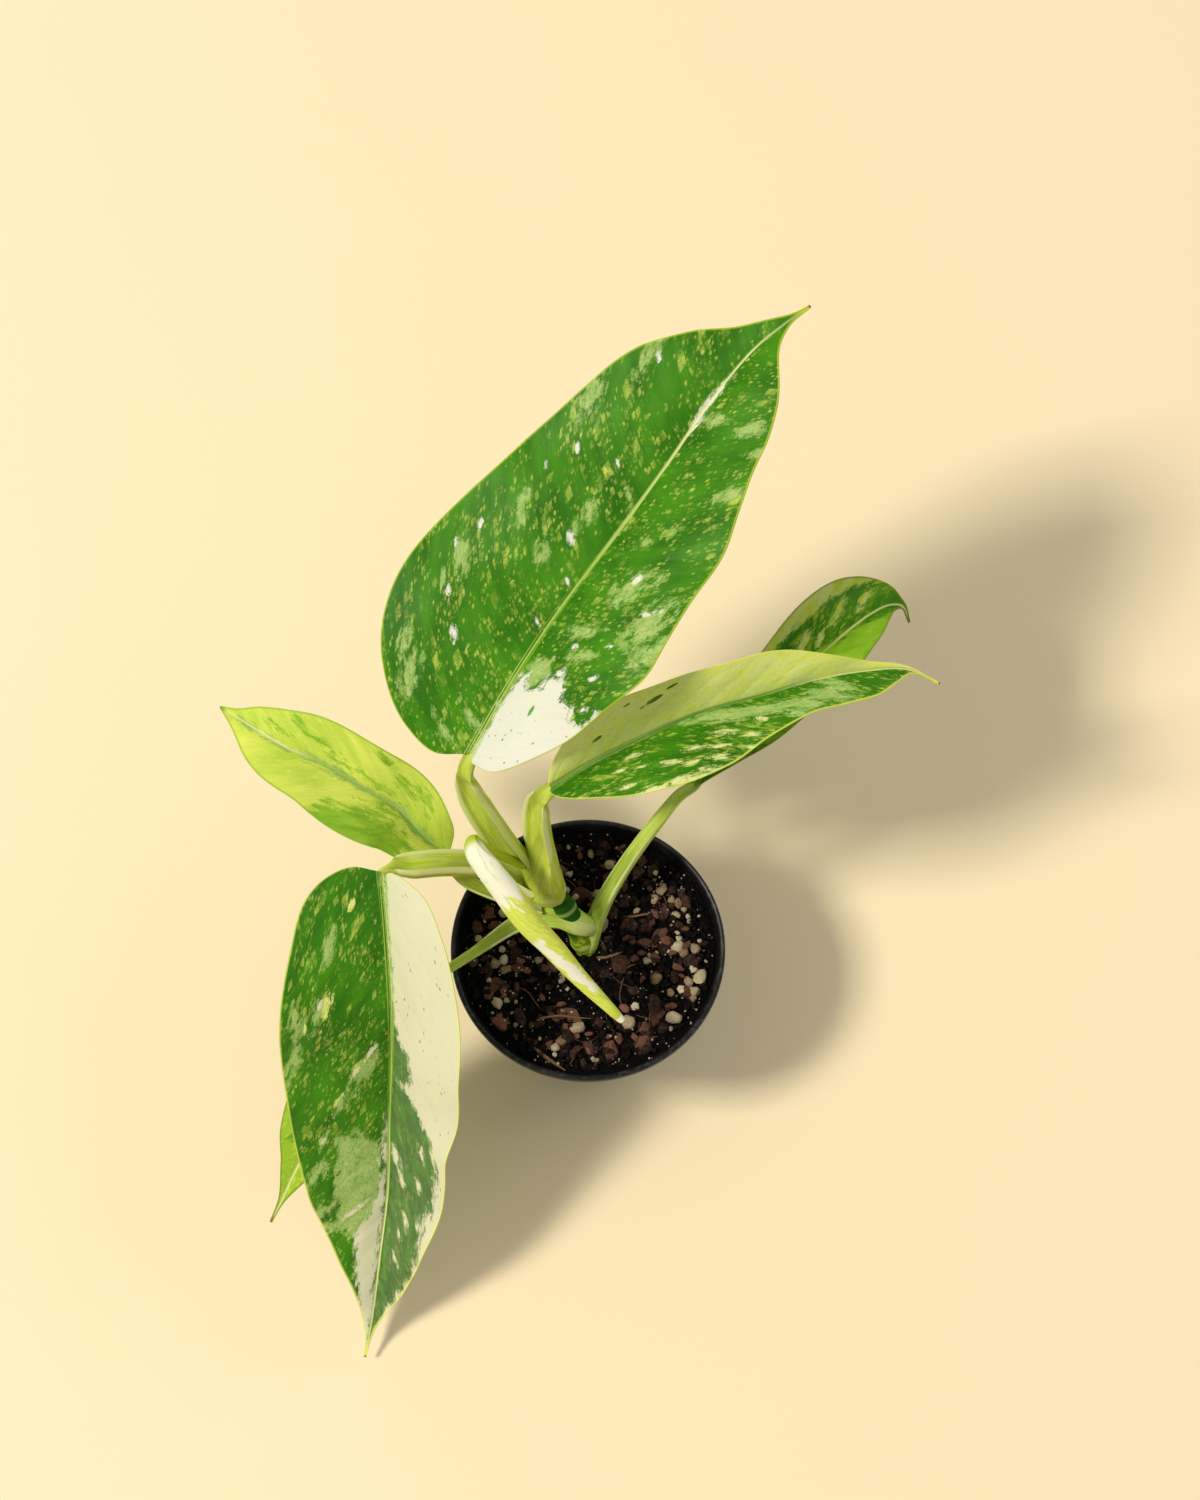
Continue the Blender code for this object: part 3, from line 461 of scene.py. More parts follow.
class PLANT_PG_foliage(bpy.types.PropertyGroup):
    """Sizes and colours of blades, stalks and stem"""

    margin_thickness: FloatProperty(
        name="Margin thickness", description="Thickness of a blade at its margin",
        default=0.4 * MM, min=0.1 * MM, max=2 * MM, unit="LENGTH")
    blade_thickness: FloatProperty(
        name="Blade thickness", description="Thickness of a blade beside its midrib",
        default=0.7 * MM, min=0.1 * MM, max=2 * MM, unit="LENGTH")
    vein_relief: FloatProperty(
        name="Vein relief", description="Depth of the furrows over the main lateral veins",
        default=0.2 * MM, min=0, max=2 * MM, unit="LENGTH")
    flecks: FloatProperty(
        name="Flecks", description="Share of the green that small pale flecks cover",
        default=0.5, min=0, max=1, subtype="FACTOR")
    deep_green: colour_property("Deep green", "Darker tone of the green blades", srgb(34, 94, 8))
    fresh_green: colour_property("Fresh green", "Lighter tone of the green blades", srgb(76, 146, 16))
    lime_green: colour_property("Lime green", "Colour of the bright young green", srgb(138, 184, 38))
    spring_green: colour_property("Spring green", "Colour of the youngest skin", srgb(170, 200, 58))
    yellow_green: colour_property("Yellow green", "Colour of the pale yellow halves", srgb(226, 234, 102))
    grey_green: colour_property("Grey green", "Colour of the half-green patches", srgb(172, 194, 114))
    cream: colour_property("Cream", "Colour of the parts without green", srgb(224, 224, 208))
    ivory: colour_property("Ivory", "Colour of the older parts without green", srgb(218, 216, 180))
    # Roll white: lighter than the blades' cream, as painted light on the partly shaded rolled leaf
    bleached: colour_property("Bleached", "White skin of the rolled leaf", srgb(242, 240, 212))
    straw: colour_property("Straw", "Colour of the yellowed marks", srgb(218, 222, 150))
    tip: colour_property("Dry tip", "Colour of the dry tips", srgb(120, 86, 48))
    fleck: colour_property("Fleck", "Colour of the small flecks", srgb(206, 216, 96))
    olive: colour_property("Olive", "Colour of the shaded and older skin", srgb(122, 136, 22))
    stalk_green: colour_property("Stalk green", "Colour of the stalks", srgb(182, 200, 44))
    wing: colour_property("Wing edge", "Colour of the thin edges of the stalks", srgb(226, 228, 160))
    stem_green: colour_property("Stem green", "Colour of the short stem", srgb(32, 76, 8))


class PLANT_PG_pot(bpy.types.PropertyGroup):
    """Colour and wear of the nursery pot"""

    plastic: colour_property("Plastic", "Colour of the moulded plastic", srgb(15, 15, 17))
    scuff: colour_property("Scuffs", "Colour of the rubbed and dusty places", srgb(92, 92, 94))
    wear: FloatProperty(
        name="Wear", description="How much of the lip is rubbed",
        default=0.5, min=0, max=1, subtype="FACTOR")


class PLANT_PG_mix(bpy.types.PropertyGroup):
    """Amounts and colours of the grains of the potting mix"""

    seed: IntProperty(name="Seed", description="Another number lays the grains another way", default=7)
    crumbs: IntProperty(
        name="Crumbs", description="Number of small dark crumbs", default=1700, min=0, max=4000)
    bark: IntProperty(
        name="Bark chips", description="Number of bark chips", default=240, min=0, max=500)
    pumice: IntProperty(
        name="Pumice", description="Number of pale grains", default=125, min=0, max=600)
    fibres: IntProperty(
        name="Fibres", description="Number of fine roots and fibres", default=46, min=0, max=200)
    # Darkest tone of the mix, near black: partly the dark of the damp mix, partly painted shade in the
    # hollows between the grains
    damp: colour_property("Damp mix", "Colour of the hollows of the damp mix", srgb(5, 4, 3))
    dark: colour_property("Dark mix", "Colour of the damp fine mix", srgb(12, 9, 7))
    brown: colour_property("Brown mix", "Colour of the drier fine mix", srgb(28, 20, 15))
    bark_red: colour_property("Bark", "Colour of the red-brown chips", srgb(126, 84, 68))
    pumice_dusk: colour_property("Stained pumice", "Colour of the stained grains", srgb(124, 96, 66))
    pumice_pale: colour_property("Pale pumice", "Colour of the clean grains", srgb(214, 200, 166))


class PLANT_PG_stage(bpy.types.PropertyGroup):
    """Floor and lights"""

    floor: colour_property("Floor", "Colour of the plain floor", srgb(250, 232, 192))
    key_power: FloatProperty(
        name="Key light", description="Power of the main light", default=70, min=0, unit="POWER")
    fill_power: FloatProperty(
        name="Fill light", description="Power of the wide light from the other side", default=8, min=0,
        unit="POWER")
    sky: FloatProperty(name="Sky", description="Strength of the light from all round", default=0.42, min=0)
    key_size: FloatProperty(
        name="Key size", description="Side of the main light: a wider one gives softer shadows",
        default=0.5, min=0.05, unit="LENGTH")


# Curves and surfaces, in millimetres


def unit(vector):
    """The vector at a length of one."""
    return vector / np.linalg.norm(vector)


def unit_rows(rows):
    """Every row at a length of one."""
    return rows / np.linalg.norm(rows, axis=-1, keepdims=True)


def smooth_path(points, count):
    """Evenly spaced points on the centripetal spline through the given points."""
    given = [np.array(point, dtype=float) for point in points]
    padded = [2 * given[0] - given[1], *given, 2 * given[-1] - given[-2]]
    dense = []
    for first, start, end, last in zip(padded, padded[1:], padded[2:], padded[3:]):
        t1 = math.sqrt(np.linalg.norm(start - first))
        t2 = t1 + math.sqrt(np.linalg.norm(end - start))
        t3 = t2 + math.sqrt(np.linalg.norm(last - end))
        for t in np.linspace(t1, t2, 24, endpoint=False):
            a1 = ((t1 - t) * first + t * start) / t1
            a2 = ((t2 - t) * start + (t - t1) * end) / (t2 - t1)
            a3 = ((t3 - t) * end + (t - t2) * last) / (t3 - t2)
            b1 = ((t2 - t) * a1 + t * a2) / t2
            b2 = ((t3 - t) * a2 + (t - t1) * a3) / (t3 - t1)
            dense.append(((t2 - t) * b1 + (t - t1) * b2) / (t2 - t1))
    dense.append(given[-1])
    dense = np.array(dense)
    travelled = np.concatenate([[0], np.cumsum(np.linalg.norm(np.diff(dense, axis=0), axis=1))])
    wanted = np.linspace(0, travelled[-1], count)
    return np.stack([np.interp(wanted, travelled, axis) for axis in dense.T], axis=-1)


def station(table, fractions):
    """Columns read between the rows of a table whose first column is a fraction."""
    rows = np.array(table, dtype=float)
    return [np.interp(fractions, rows[:, 0], column) for column in rows[:, 1:].T]


class BladeForm:
    """The upper surface of a blade: a folded, arched and waved sheet on its midrib."""

    SAMPLES = 240
    CHORD = 24

    def __init__(self, blade):
        self.blade = blade
        self.path = smooth_path(blade.midrib, self.SAMPLES)
        self.tangents = unit_rows(np.gradient(self.path, axis=0))
        index = np.arange(self.SAMPLES)
        ahead = self.path[np.minimum(index + self.CHORD, self.SAMPLES - 1)]
        level = np.cross(ahead - self.path[np.maximum(index - self.CHORD, 0)], (0, 0, 1))
        shared = np.sum(level * self.tangents, axis=1, keepdims=True)
        self.sideways = unit_rows(level - self.tangents * shared)
        steps = np.linalg.norm(np.diff(self.path, axis=0), axis=1)
        self.length = float(steps.sum())
        self.travel = np.linspace(0, self.length, self.SAMPLES)
        self.half_width = max(out for _, out in (*blade.left, *blade.right))
        self.margins = {
            -1: smooth_path([*blade.left, (self.length, TIP_HALF_WIDTH)], self.SAMPLES),
            1: smooth_path([*blade.right, (self.length, TIP_HALF_WIDTH)], self.SAMPLES),
        }

    def read(self, rows, along):
        """Rows of a sampled table at distances along the midrib."""
        return np.stack([np.interp(along, self.travel, column) for column in rows.T], axis=-1)

    def axes(self, along):
        """Midrib points, tangents, sideways directions and upper normals at distances from the base."""
        tangents = unit_rows(self.read(self.tangents, along))
        points = self.read(self.path, along) + tangents * np.minimum(along, 0)[:, None]
        sideways = unit_rows(self.read(self.sideways, along))
        return points, tangents, sideways, unit_rows(np.cross(sideways, tangents))

    def place(self, rib, share):
        """Points of the blade, their upper normals, and their facts in millimetres.

        The facts are the foot on the midrib, the distance out from it, the margin's distance out, and
        the place where the lateral vein through the point starts.

        rib runs from 0 at the base to 1 at the tip, and share from -1 at the left margin to 1 at the
        right one.
        """
        crowded = 1 - (1 - rib) ** TIP_CROWDING
        foot = self.length * crowded**VEIN_SWEEP
        out = np.abs(share)
        right = (share > 0)[:, None]
        ends = np.where(right, self.read(self.margins[1], crowded * self.length),
                        self.read(self.margins[-1], crowded * self.length))
        along = foot + (ends[:, 0] - foot) * out
        away = ends[:, 1] * out
        points, _, sideways, normals = self.axes(along)
        thirds = (0, 0.5, 1)
        rises = np.where(share > 0, np.interp(along / self.length, thirds, self.blade.rise_right),
                         np.interp(along / self.length, thirds, self.blade.rise_left))
        rises = np.radians(rises)[:, None]
        side = np.where(share > 0, 1.0, -1.0)
        swing = np.sin(along / RIPPLE_LENGTH + side) * np.sin(math.pi * rib)
        lift = BLADE_ARCH * ends[:, 1] * np.sin(math.pi * out) + self.blade.wave * swing * out**2
        flat = sideways * side[:, None] * np.cos(rises) + normals * np.sin(rises)
        upward = normals * np.cos(rises) - sideways * side[:, None] * np.sin(rises)
        blend = np.clip(away / RIB_BLEND, 0, 1)[:, None]
        means = unit_rows(normals * (1 - blend) + upward * blend)
        vein = along - away * (self.blade.lean + VEIN_BEND * away / self.half_width)
        facts = np.stack([foot, away * side, ends[:, 1], vein], axis=-1)
        return points + flat * away[:, None] + upward * lift[:, None], means, facts


def inside_distance(foot, out, outline):
    """How far inside a closed outline each place lies, negative outside it."""
    corners = np.array(outline, dtype=float)
    nearest = np.full(foot.shape, np.inf)
    inside = np.zeros(foot.shape, dtype=bool)
    for (x1, y1), (x2, y2) in zip(corners, np.roll(corners, -1, axis=0)):
        dx, dy = x2 - x1, y2 - y1
        share = np.clip(((foot - x1) * dx + (out - y1) * dy) / (dx * dx + dy * dy), 0, 1)
        nearest = np.minimum(nearest, np.hypot(foot - x1 - share * dx, out - y1 - share * dy))
        if dy:
            crosses = (y1 > out) != (y2 > out)
            inside ^= crosses & (foot < x1 + (out - y1) * dx / dy)
    return np.where(inside, nearest, -nearest)


def mark_depth(name, kind, foot, out, vein, half_width):
    """How far inside the markings of one kind each place of a blade lies."""
    depth = np.full(foot.shape, -MARK_REACH)
    for outline in SECTORS[name].get(kind, []):
        depth = np.maximum(depth, inside_distance(foot, out, outline))
    for spot_foot, spot_out, reach, breadth in SPOTS[name].get(kind, []):
        middle = vein[np.argmin(np.hypot(foot - spot_foot, out - spot_out))]
        slant = math.hypot(1, BLADES[name].lean + 2 * VEIN_BEND * abs(spot_out) / half_width)
        away = np.hypot((vein - middle) / slant / breadth, (out - spot_out) * slant / reach)
        depth = np.maximum(depth, (1 - away) * SPOT_DEPTH)
    return np.clip(depth, -MARK_REACH, MARK_REACH)


# Meshes


def make_object(name, bm):
    """Put a bmesh in the scene as an object of this name."""
    mesh = bpy.data.meshes.new(name)
    bm.to_mesh(mesh)
    bm.free()
    thing = bpy.data.objects.new(name, mesh)
    bpy.context.scene.collection.objects.link(thing)
    return thing


def vertex_values(mesh, name):
    """The rows of a vector attribute of a mesh."""
    values = np.zeros(len(mesh.vertices) * 3, dtype=np.float32)
    mesh.attributes[name].data.foreach_get("vector", values)
    return values.reshape(-1, 3).astype(float)


def keep_values(mesh, name, values):
    """Store one number or one vector for each vertex, for the materials to read."""
    vector = values.ndim == 2
    kind = "FLOAT_VECTOR" if vector else "FLOAT"
    attribute = mesh.attributes.new(name, kind, "POINT")
    attribute.data.foreach_set("vector" if vector else "value", values.astype(np.float32).ravel())


def dress(piece, node, material, sharp_angle):
    """Give a piece its material and shading, and set it on the frame in place of its node."""
    piece.data.materials.append(material)
    piece.data.shade_smooth()
    piece.data.set_sharp_from_angle(angle=math.radians(sharp_angle))
    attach(piece, "root")
    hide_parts(node)


def sheet(rows, steps):
    """A closed flat sheet in two layers, whose vertices know their place on it."""
    bm = bmesh.new()
    bmesh.ops.create_grid(bm, x_segments=rows, y_segments=2 * steps, size=1)
    place = bm.verts.layers.float_vector.new("place")
    for vert in bm.verts:
        vert[place] = ((vert.co.x + 1) / 2, -vert.co.y, 0)
    made = bmesh.ops.extrude_face_region(bm, geom=list(bm.faces))
    for part in made["geom"]:
        if isinstance(part, bmesh.types.BMVert):
            part[place] = (part[place][0], part[place][1], 1)
            part.co.z -= SHEET_GAP
    bmesh.ops.recalc_face_normals(bm, faces=bm.faces)
    return bm


def blade_piece(name, settings):
    """A blade with its furrowed veins, its channelled midrib and the keel below it."""
    blade = BLADES[name]
    form = BladeForm(blade)
    piece = make_object(name.replace("leaf", "blade"), sheet(blade.rows, BLADE_STEPS))
    mesh = piece.data
    places = vertex_values(mesh, "place")
    rib, under = places[:, 0], places[:, 2]
    share = np.sign(places[:, 1]) * np.abs(places[:, 1]) ** MIDRIB_CROWDING
    points, normals, facts = form.place(rib, share)
    foot, out, margin, vein = facts.T
    away = np.abs(out)

    taper = 1 - RIB_TAPER * rib
    channel = CHANNEL_DEPTH * taper * np.exp(-(away / (CHANNEL_WIDTH * taper)) ** 2)
    furrow = (1 - np.abs(np.sin(math.pi * vein / blade.vein_gap))) ** 2
    fade = np.clip(away / FURROW_START, 0, 1) * np.clip((margin - away) / FURROW_END, 0, 1)
    relief = -channel - settings.vein_relief / MM * furrow * fade
    lumps = [noise.noise(Vector((x / LUMP_SPACING, y / LUMP_SPACING, LUMP_LAYER)))
             for x, y in zip(foot, out)]
    relief += LUMP_HEIGHT * np.array(lumps) * np.clip(away / LUMP_START, 0, 1)
    edge, body = settings.margin_thickness / MM, settings.blade_thickness / MM
    thick = edge + (body - edge) * np.clip((margin - away) / THIN_MARGIN, 0, 1)
    keel = np.exp(-(away / (KEEL_TIP_WIDTH + KEEL_WIDTH * taper)) ** 2)
    thick += KEEL_DEPTH * (1 - rib) ** KEEL_TAPER * keel
    relief = np.where(under > 0.5, relief - thick, relief)
    points = points + normals * relief[:, None]

    mesh.vertices.foreach_set("co", (points * MM).astype(np.float32).ravel())
    keep_values(mesh, "grain", np.stack([vein, out, under], axis=-1))
    keep_values(mesh, "spread", np.stack([rib, away, margin - away], axis=-1))
    for kind in KINDS:
        keep_values(mesh, kind, mark_depth(name, kind, foot, out, vein, form.half_width))
    mesh.update()
    return piece


def loft(name, rings, places):
    """A closed piece through rings of points, which keeps each point's place for the materials."""
    count = len(rings[0])
    bm = bmesh.new()
    bmesh.ops.create_grid(bm, x_segments=len(rings) - 1, y_segments=count, size=1)
    grain = bm.verts.layers.float_vector.new("grain")
    for vert in bm.verts:
        row = round((vert.co.x + 1) / 2 * (len(rings) - 1))
        column = round((vert.co.y + 1) / 2 * count) % count
        vert.co = Vector(rings[row][column] * MM)
        vert[grain] = Vector(places[row][column])
    bmesh.ops.remove_doubles(bm, verts=bm.verts, dist=0.001 * MM)
    open_edges = [edge for edge in bm.edges if edge.is_boundary]
    bmesh.ops.holes_fill(bm, edges=open_edges, sides=0)
    bmesh.ops.recalc_face_normals(bm, faces=bm.faces)
    return make_object(name, bm)


def stalk_section(half_width, half_depth, hollow):
    """A section as (sideways, upward, wing) rows: round below, with thin raised wings above."""
    below = np.linspace(0, math.pi, STALK_OUTER_POINTS)
    above = np.linspace(math.pi, 0, STALK_INNER_POINTS + 2)[1:-1]
    rows = []
    for angles, width, lift, sag in ((below, half_width, 0, half_depth),
                                     (above, half_width - WING_EDGE, WING_LIFT, half_depth * hollow)):
        for angle in angles:
            wing = abs(math.cos(angle)) ** WING_SHARPNESS
            curl = WING_CURL * wing * max(hollow, 0)
            rows.append((math.cos(angle) * (width - WING_FOLD * curl),
                         lift + curl - math.sin(angle) * sag, wing))
    return rows


def stalk_piece(name):
    """A stalk with its channel and wings, from the stem to its seat under the blade."""
    stalk = STALKS[name]
    form = BladeForm(BLADES[name])
    route = list(stalk.route)
    points, _, _, normals = form.axes(np.array([0.0, SEAT_LENGTH]))
    route.extend(points - normals * SEAT_DROP)
    path = smooth_path(route, STALK_ROWS)
    tangents = unit_rows(np.gradient(path, axis=0))
    rings, places = [], []
    for index, (point, tangent) in enumerate(zip(path, tangents)):
        fraction = index / (STALK_ROWS - 1)
        half_width, half_depth, hollow = station(stalk.sections, fraction)
        sideways = unit(np.cross(tangent, stalk.facing))
        upward = np.cross(sideways, tangent)
        section = stalk_section(half_width, half_depth, hollow)
        rings.append([point + sideways * x + upward * y for x, y, _ in section])
        open_channel = min(max(2.5 * hollow, 0), 1)
        places.append([(fraction * STALK_PATTERN, x, wing * open_channel) for x, _, wing in section])
    return loft(name.replace("leaf", "stalk"), rings, places)


def round_loft(name, route, radii, rows, columns, seam=0.0, twist=0.0):
    """A round piece along a route, with the step of one sheet's edge where a seam is given."""
    path = smooth_path(route, rows)
    tangents = unit_rows(np.gradient(path, axis=0))
    sideways = unit(np.cross(tangents[0], (0.3, 1, 0.2)))
    rings, places = [], []
    for index, (point, tangent) in enumerate(zip(path, tangents)):
        fraction = index / (rows - 1)
        sideways = unit(sideways - tangent * np.dot(sideways, tangent))
        upward = np.cross(sideways, tangent)
        radius = float(station(radii, fraction)[0])
        ring, place = [], []
        for step in range(columns):
            turn = step / (columns - 1) if seam else step / columns
            angle = 2 * math.pi * turn + twist * fraction * 2 * math.pi
            reach = radius * (1 + seam * (turn - 0.5))
            ring.append(point + (sideways * math.cos(angle) + upward * math.sin(angle)) * reach)
            place.append((fraction * ROUND_PATTERN, turn * 2 * math.pi * radius, turn))
        rings.append(ring)
        places.append(place)
    return loft(name, rings, places)


def pot_profile():
    """The pot's outline from the middle of its base up the outside and down the inside."""
    collar = POT_HEIGHT - COLLAR_HEIGHT
    lip = POT_HEIGHT - LIP_HEIGHT
    wall_top = RIM_RADIUS - LIP_WIDTH
    slope = (wall_top - COLLAR_STEP - BASE_RADIUS) / collar
    below_collar = BASE_RADIUS + slope * collar
    return [
        (CENTRE_RADIUS, 0),
        (BASE_RADIUS - 1.5 * MM, 0),
        (BASE_RADIUS - 0.4 * MM, 0.5 * MM),
        (BASE_RADIUS, 1.5 * MM),
        (below_collar, collar),
        (below_collar + COLLAR_STEP * 0.6, collar + 0.5 * MM),
        (below_collar + COLLAR_STEP, collar + 1.5 * MM),
        (wall_top, lip),
        (RIM_RADIUS - 0.4 * MM, lip),
        (RIM_RADIUS - 0.1 * MM, lip + 0.2 * MM),
        (RIM_RADIUS, lip + 0.6 * MM),
        (RIM_RADIUS, POT_HEIGHT - 1.3 * MM),
        (RIM_RADIUS - 0.2 * MM, POT_HEIGHT - 0.7 * MM),
        (RIM_RADIUS - 0.6 * MM, POT_HEIGHT - 0.25 * MM),
        (RIM_RADIUS - 1.2 * MM, POT_HEIGHT),
        (RIM_RADIUS - 1.8 * MM, POT_HEIGHT - 0.2 * MM),
        (RIM_RADIUS - 2.2 * MM, POT_HEIGHT - 0.7 * MM),
        (wall_top - WALL, lip - 0.5 * MM),
        (below_collar + COLLAR_STEP - WALL, collar + 2.2 * MM),
        (below_collar - WALL, collar + 0.7 * MM),
        (BASE_RADIUS - WALL, FLOOR),
        (CENTRE_RADIUS, FLOOR),
    ]


def turned(profile, radial_steps):
    """A bmesh of a profile spun round the vertical axis, with its two ends closed."""
    bm = bmesh.new()
    verts = [bm.verts.new((radius, 0, height)) for radius, height in profile]
    edges = [bm.edges.new(pair) for pair in zip(verts, verts[1:])]
    bmesh.ops.spin(bm, geom=verts + edges, cent=(0, 0, 0), axis=(0, 0, 1), angle=2 * math.pi,
                   steps=radial_steps, use_merge=True)
    bmesh.ops.remove_doubles(bm, verts=bm.verts, dist=0.01 * MM)
    open_edges = [edge for edge in bm.edges if edge.is_boundary]
    bmesh.ops.holes_fill(bm, edges=open_edges, sides=0)
    bmesh.ops.recalc_face_normals(bm, faces=bm.faces)
    return bm


def make_oval(bm):
    """Press the soft pot a little flat across Y, more towards its rim."""
    for vert in bm.verts:
        vert.co.y *= 1 - OVAL * vert.co.z / POT_HEIGHT


def pot_piece():
    """The nursery pot with its collar, rolled lip and drain holes."""
    bm = turned(pot_profile(), POT_SEGMENTS)
    make_oval(bm)
    pot = make_object("nursery_pot", bm)
    group = bpy.data.collections.new("drains")
    for index in range(DRAIN_HOLES):
        angle = 2 * math.pi * (index + 0.5) / DRAIN_HOLES
        centre = Matrix.Translation((math.cos(angle) * DRAIN_CIRCLE, math.sin(angle) * DRAIN_CIRCLE, 0))
        drill = bmesh.new()
        bmesh.ops.create_cone(drill, cap_ends=True, segments=DRAIN_SIDES, radius1=DRAIN_RADIUS,
                              radius2=DRAIN_RADIUS, depth=4 * FLOOR, matrix=centre)
        group.objects.link(make_object(f"drain_{index}", drill))
    modifier = pot.modifiers.new("drains", "BOOLEAN")
    modifier.operand_type = "COLLECTION"
    modifier.collection = group
    bpy.context.view_layer.update()
    evaluated = pot.evaluated_get(bpy.context.evaluated_depsgraph_get())
    pot.data = bpy.data.meshes.new_from_object(evaluated)
    pot.modifiers.clear()
    for drill in list(group.objects):
        bpy.data.objects.remove(drill, do_unlink=True)
    bpy.data.collections.remove(group)
    return pot


def near(x, y, place, width):
    """How near a place is: 1 at it, and fading away over this width."""
    return math.exp(-((x - place[0]) ** 2 + (y - place[1]) ** 2) / width**2)


def soil_height(x, y):
    """The uneven top of the mix, in low swells and scooped at the front of the stem."""
    swell = 1.1 * math.sin(x * 95 + 0.6) * math.cos(y * 80 - 0.4) + 0.6 * math.sin(x * 210 + y * 170)
    return SOIL_LEVEL + swell * MM - SCOOP_DEPTH * near(x, y, SCOOP_PLACE, SCOOP_WIDTH)


def bed_piece():
    """The body of the mix, with a crumbled top and a hole for the stem."""
    wall = [(radius - CLEARANCE, height) for radius, height in pot_profile()[-5:-1]]
    top, collar, step, base = wall
    top_radius = np.interp(SOIL_LEVEL, (collar[1], top[1]), (collar[0], top[0]))
    surface = [(top_radius * ring / SOIL_RINGS, SOIL_LEVEL) for ring in range(1, SOIL_RINGS + 1)]
    floor = [(base[0], FLOOR + CLEARANCE), (CENTRE_RADIUS, FLOOR + CLEARANCE)]
    bm = turned([*surface, collar, step, *floor], POT_SEGMENTS)
    make_oval(bm)
    for vert in bm.verts:
        if abs(vert.co.z - SOIL_LEVEL) < 0.01 * MM:
            spot = Vector((vert.co.x, vert.co.y, 0)) / MM
            crumble = sum(height * noise.noise(spot / spacing) for height, spacing in CRUMBLES)
            vert.co.z = soil_height(vert.co.x, vert.co.y) + (crumble - CRUMBLE_DROP) * MM
            pit = math.hypot(vert.co.x - STEM_FOOT[0], vert.co.y - STEM_FOOT[1])
            if pit < STEM_HOLE:
                vert.co.z -= STEM_PIT
    return make_object("mix_bed", bm)


def scatter(draw, reach, clear, bare=0.0):
    """A random place on the mix, clear of the stem and of the wall, and rarer in the bare patch."""
    while True:
        angle = draw.uniform(0, 2 * math.pi)
        radius = reach * math.sqrt(draw.random())
        x, y = radius * math.cos(angle), radius * math.sin(angle) * (1 - OVAL)
        if math.hypot(x - STEM_FOOT[0], y - STEM_FOOT[1]) <= clear:
            continue
        if draw.random() > bare * near(x, y, BARE_PLACE, BARE_WIDTH):
            return x, y


def lay(draw, x, y, size, sunk):
    """The matrix that lays a grain of this size in the top of the mix."""
    turn = Euler((draw.uniform(-GRAIN_TILT, GRAIN_TILT), draw.uniform(-GRAIN_TILT, GRAIN_TILT),
                  draw.uniform(0, 2 * math.pi)))
    height = soil_height(x, y) + (0.5 - sunk) * size.z
    return Matrix.Translation((x, y, height)) @ turn.to_matrix().to_4x4() @ Matrix.Diagonal((*size, 1))


def jitter(draw, size, level, upright):
    """A random move by up to these shares of a size."""
    return Vector([draw.uniform(-share, share) * size for share in (level, level, upright)])


def new_grains(settings, kind):
    """A seeded source of chance for one kind of grain, an empty bmesh, and its layer of tints."""
    bm = bmesh.new()
    return random.Random(settings.seed + kind), bm, bm.verts.layers.float.new("tint")


def crumbs_piece(settings):
    """Small dark crumbs of coir and compost."""
    draw, bm, tint = new_grains(settings, 0)
    for _ in range(settings.crumbs):
        x, y = scatter(draw, MIX_REACH, CRUMBS_CLEAR)
        base = draw.triangular(*CRUMB_SIZES) * MM
        size = Vector((base * draw.uniform(0.8, 1.7), base, base * draw.uniform(0.6, 1)))
        made = bmesh.ops.create_icosphere(bm, subdivisions=1, radius=0.5,
                                          matrix=lay(draw, x, y, size, 0.25))
        shade = draw.random()
        for vert in made["verts"]:
            vert[tint] = shade
            vert.co += jitter(draw, base, 0.12, 0.12)
    return make_object("mix_crumbs", bm)


def bark_piece(settings):
    """Flat angular chips of bark. Bevelled corners are sorted, so that each run moves them alike."""
    draw, bm, tint = new_grains(settings, 1)
    for _ in range(settings.bark):
        x, y = scatter(draw, MIX_REACH - 2.5 * MM, GRAINS_CLEAR, 0.85)
        length = draw.triangular(*BARK_LENGTHS) * MM
        size = Vector((length, length * draw.uniform(0.45, 0.85), draw.uniform(*BARK_THICKNESS) * MM))
        made = bmesh.ops.create_cone(bm, cap_ends=True, segments=draw.randint(4, 6), radius1=0.55,
                                     radius2=0.5, depth=1, matrix=lay(draw, x, y, size, 0.3))
        for vert in made["verts"]:
            vert.co += jitter(draw, length, 0.1, 0.06)
        edges = dict.fromkeys(edge for vert in made["verts"] for edge in vert.link_edges)
        bevelled = bmesh.ops.bevel(bm, geom=list(edges), offset=0.07 * length, segments=1, profile=0.5,
                                   affect="EDGES", material=-1)
        shade = draw.random() ** 1.8
        corners = {vert for face in bevelled["faces"] for vert in face.verts}
        for vert in sorted(corners, key=lambda corner: tuple(corner.co)):
            vert[tint] = shade
            vert.co += jitter(draw, length, 0.03, 0.03)
    return make_object("mix_bark", bm)


def pumice_piece(settings):
    """Rounded grains of pumice and perlite, thickest at the right of the pot."""
    draw, bm, tint = new_grains(settings, 2)
    laid = 0
    while laid < settings.pumice:
        x, y = scatter(draw, MIX_REACH - 1 * MM, GRAINS_CLEAR, 0.97)
        if draw.random() > 0.3 + 0.7 * near(x, y, PUMICE_PLACE, PUMICE_WIDTH):
            continue
        laid += 1
        base = draw.triangular(*PUMICE_SIZES) * MM
        size = Vector((base * draw.uniform(1, 1.4), base, base * draw.uniform(0.7, 1)))
        made = bmesh.ops.create_icosphere(bm, subdivisions=2, radius=0.5,
                                          matrix=lay(draw, x, y, size, 0.2))
        shade = draw.random()
        for vert in made["verts"]:
            vert[tint] = shade
            bulge = 0.5 * noise.noise(vert.co / base * 1.4) + 0.3 * noise.noise(vert.co / base * 3)
            vert.co += (vert.co - Vector((x, y, soil_height(x, y)))) * bulge
    return make_object("mix_pumice", bm)


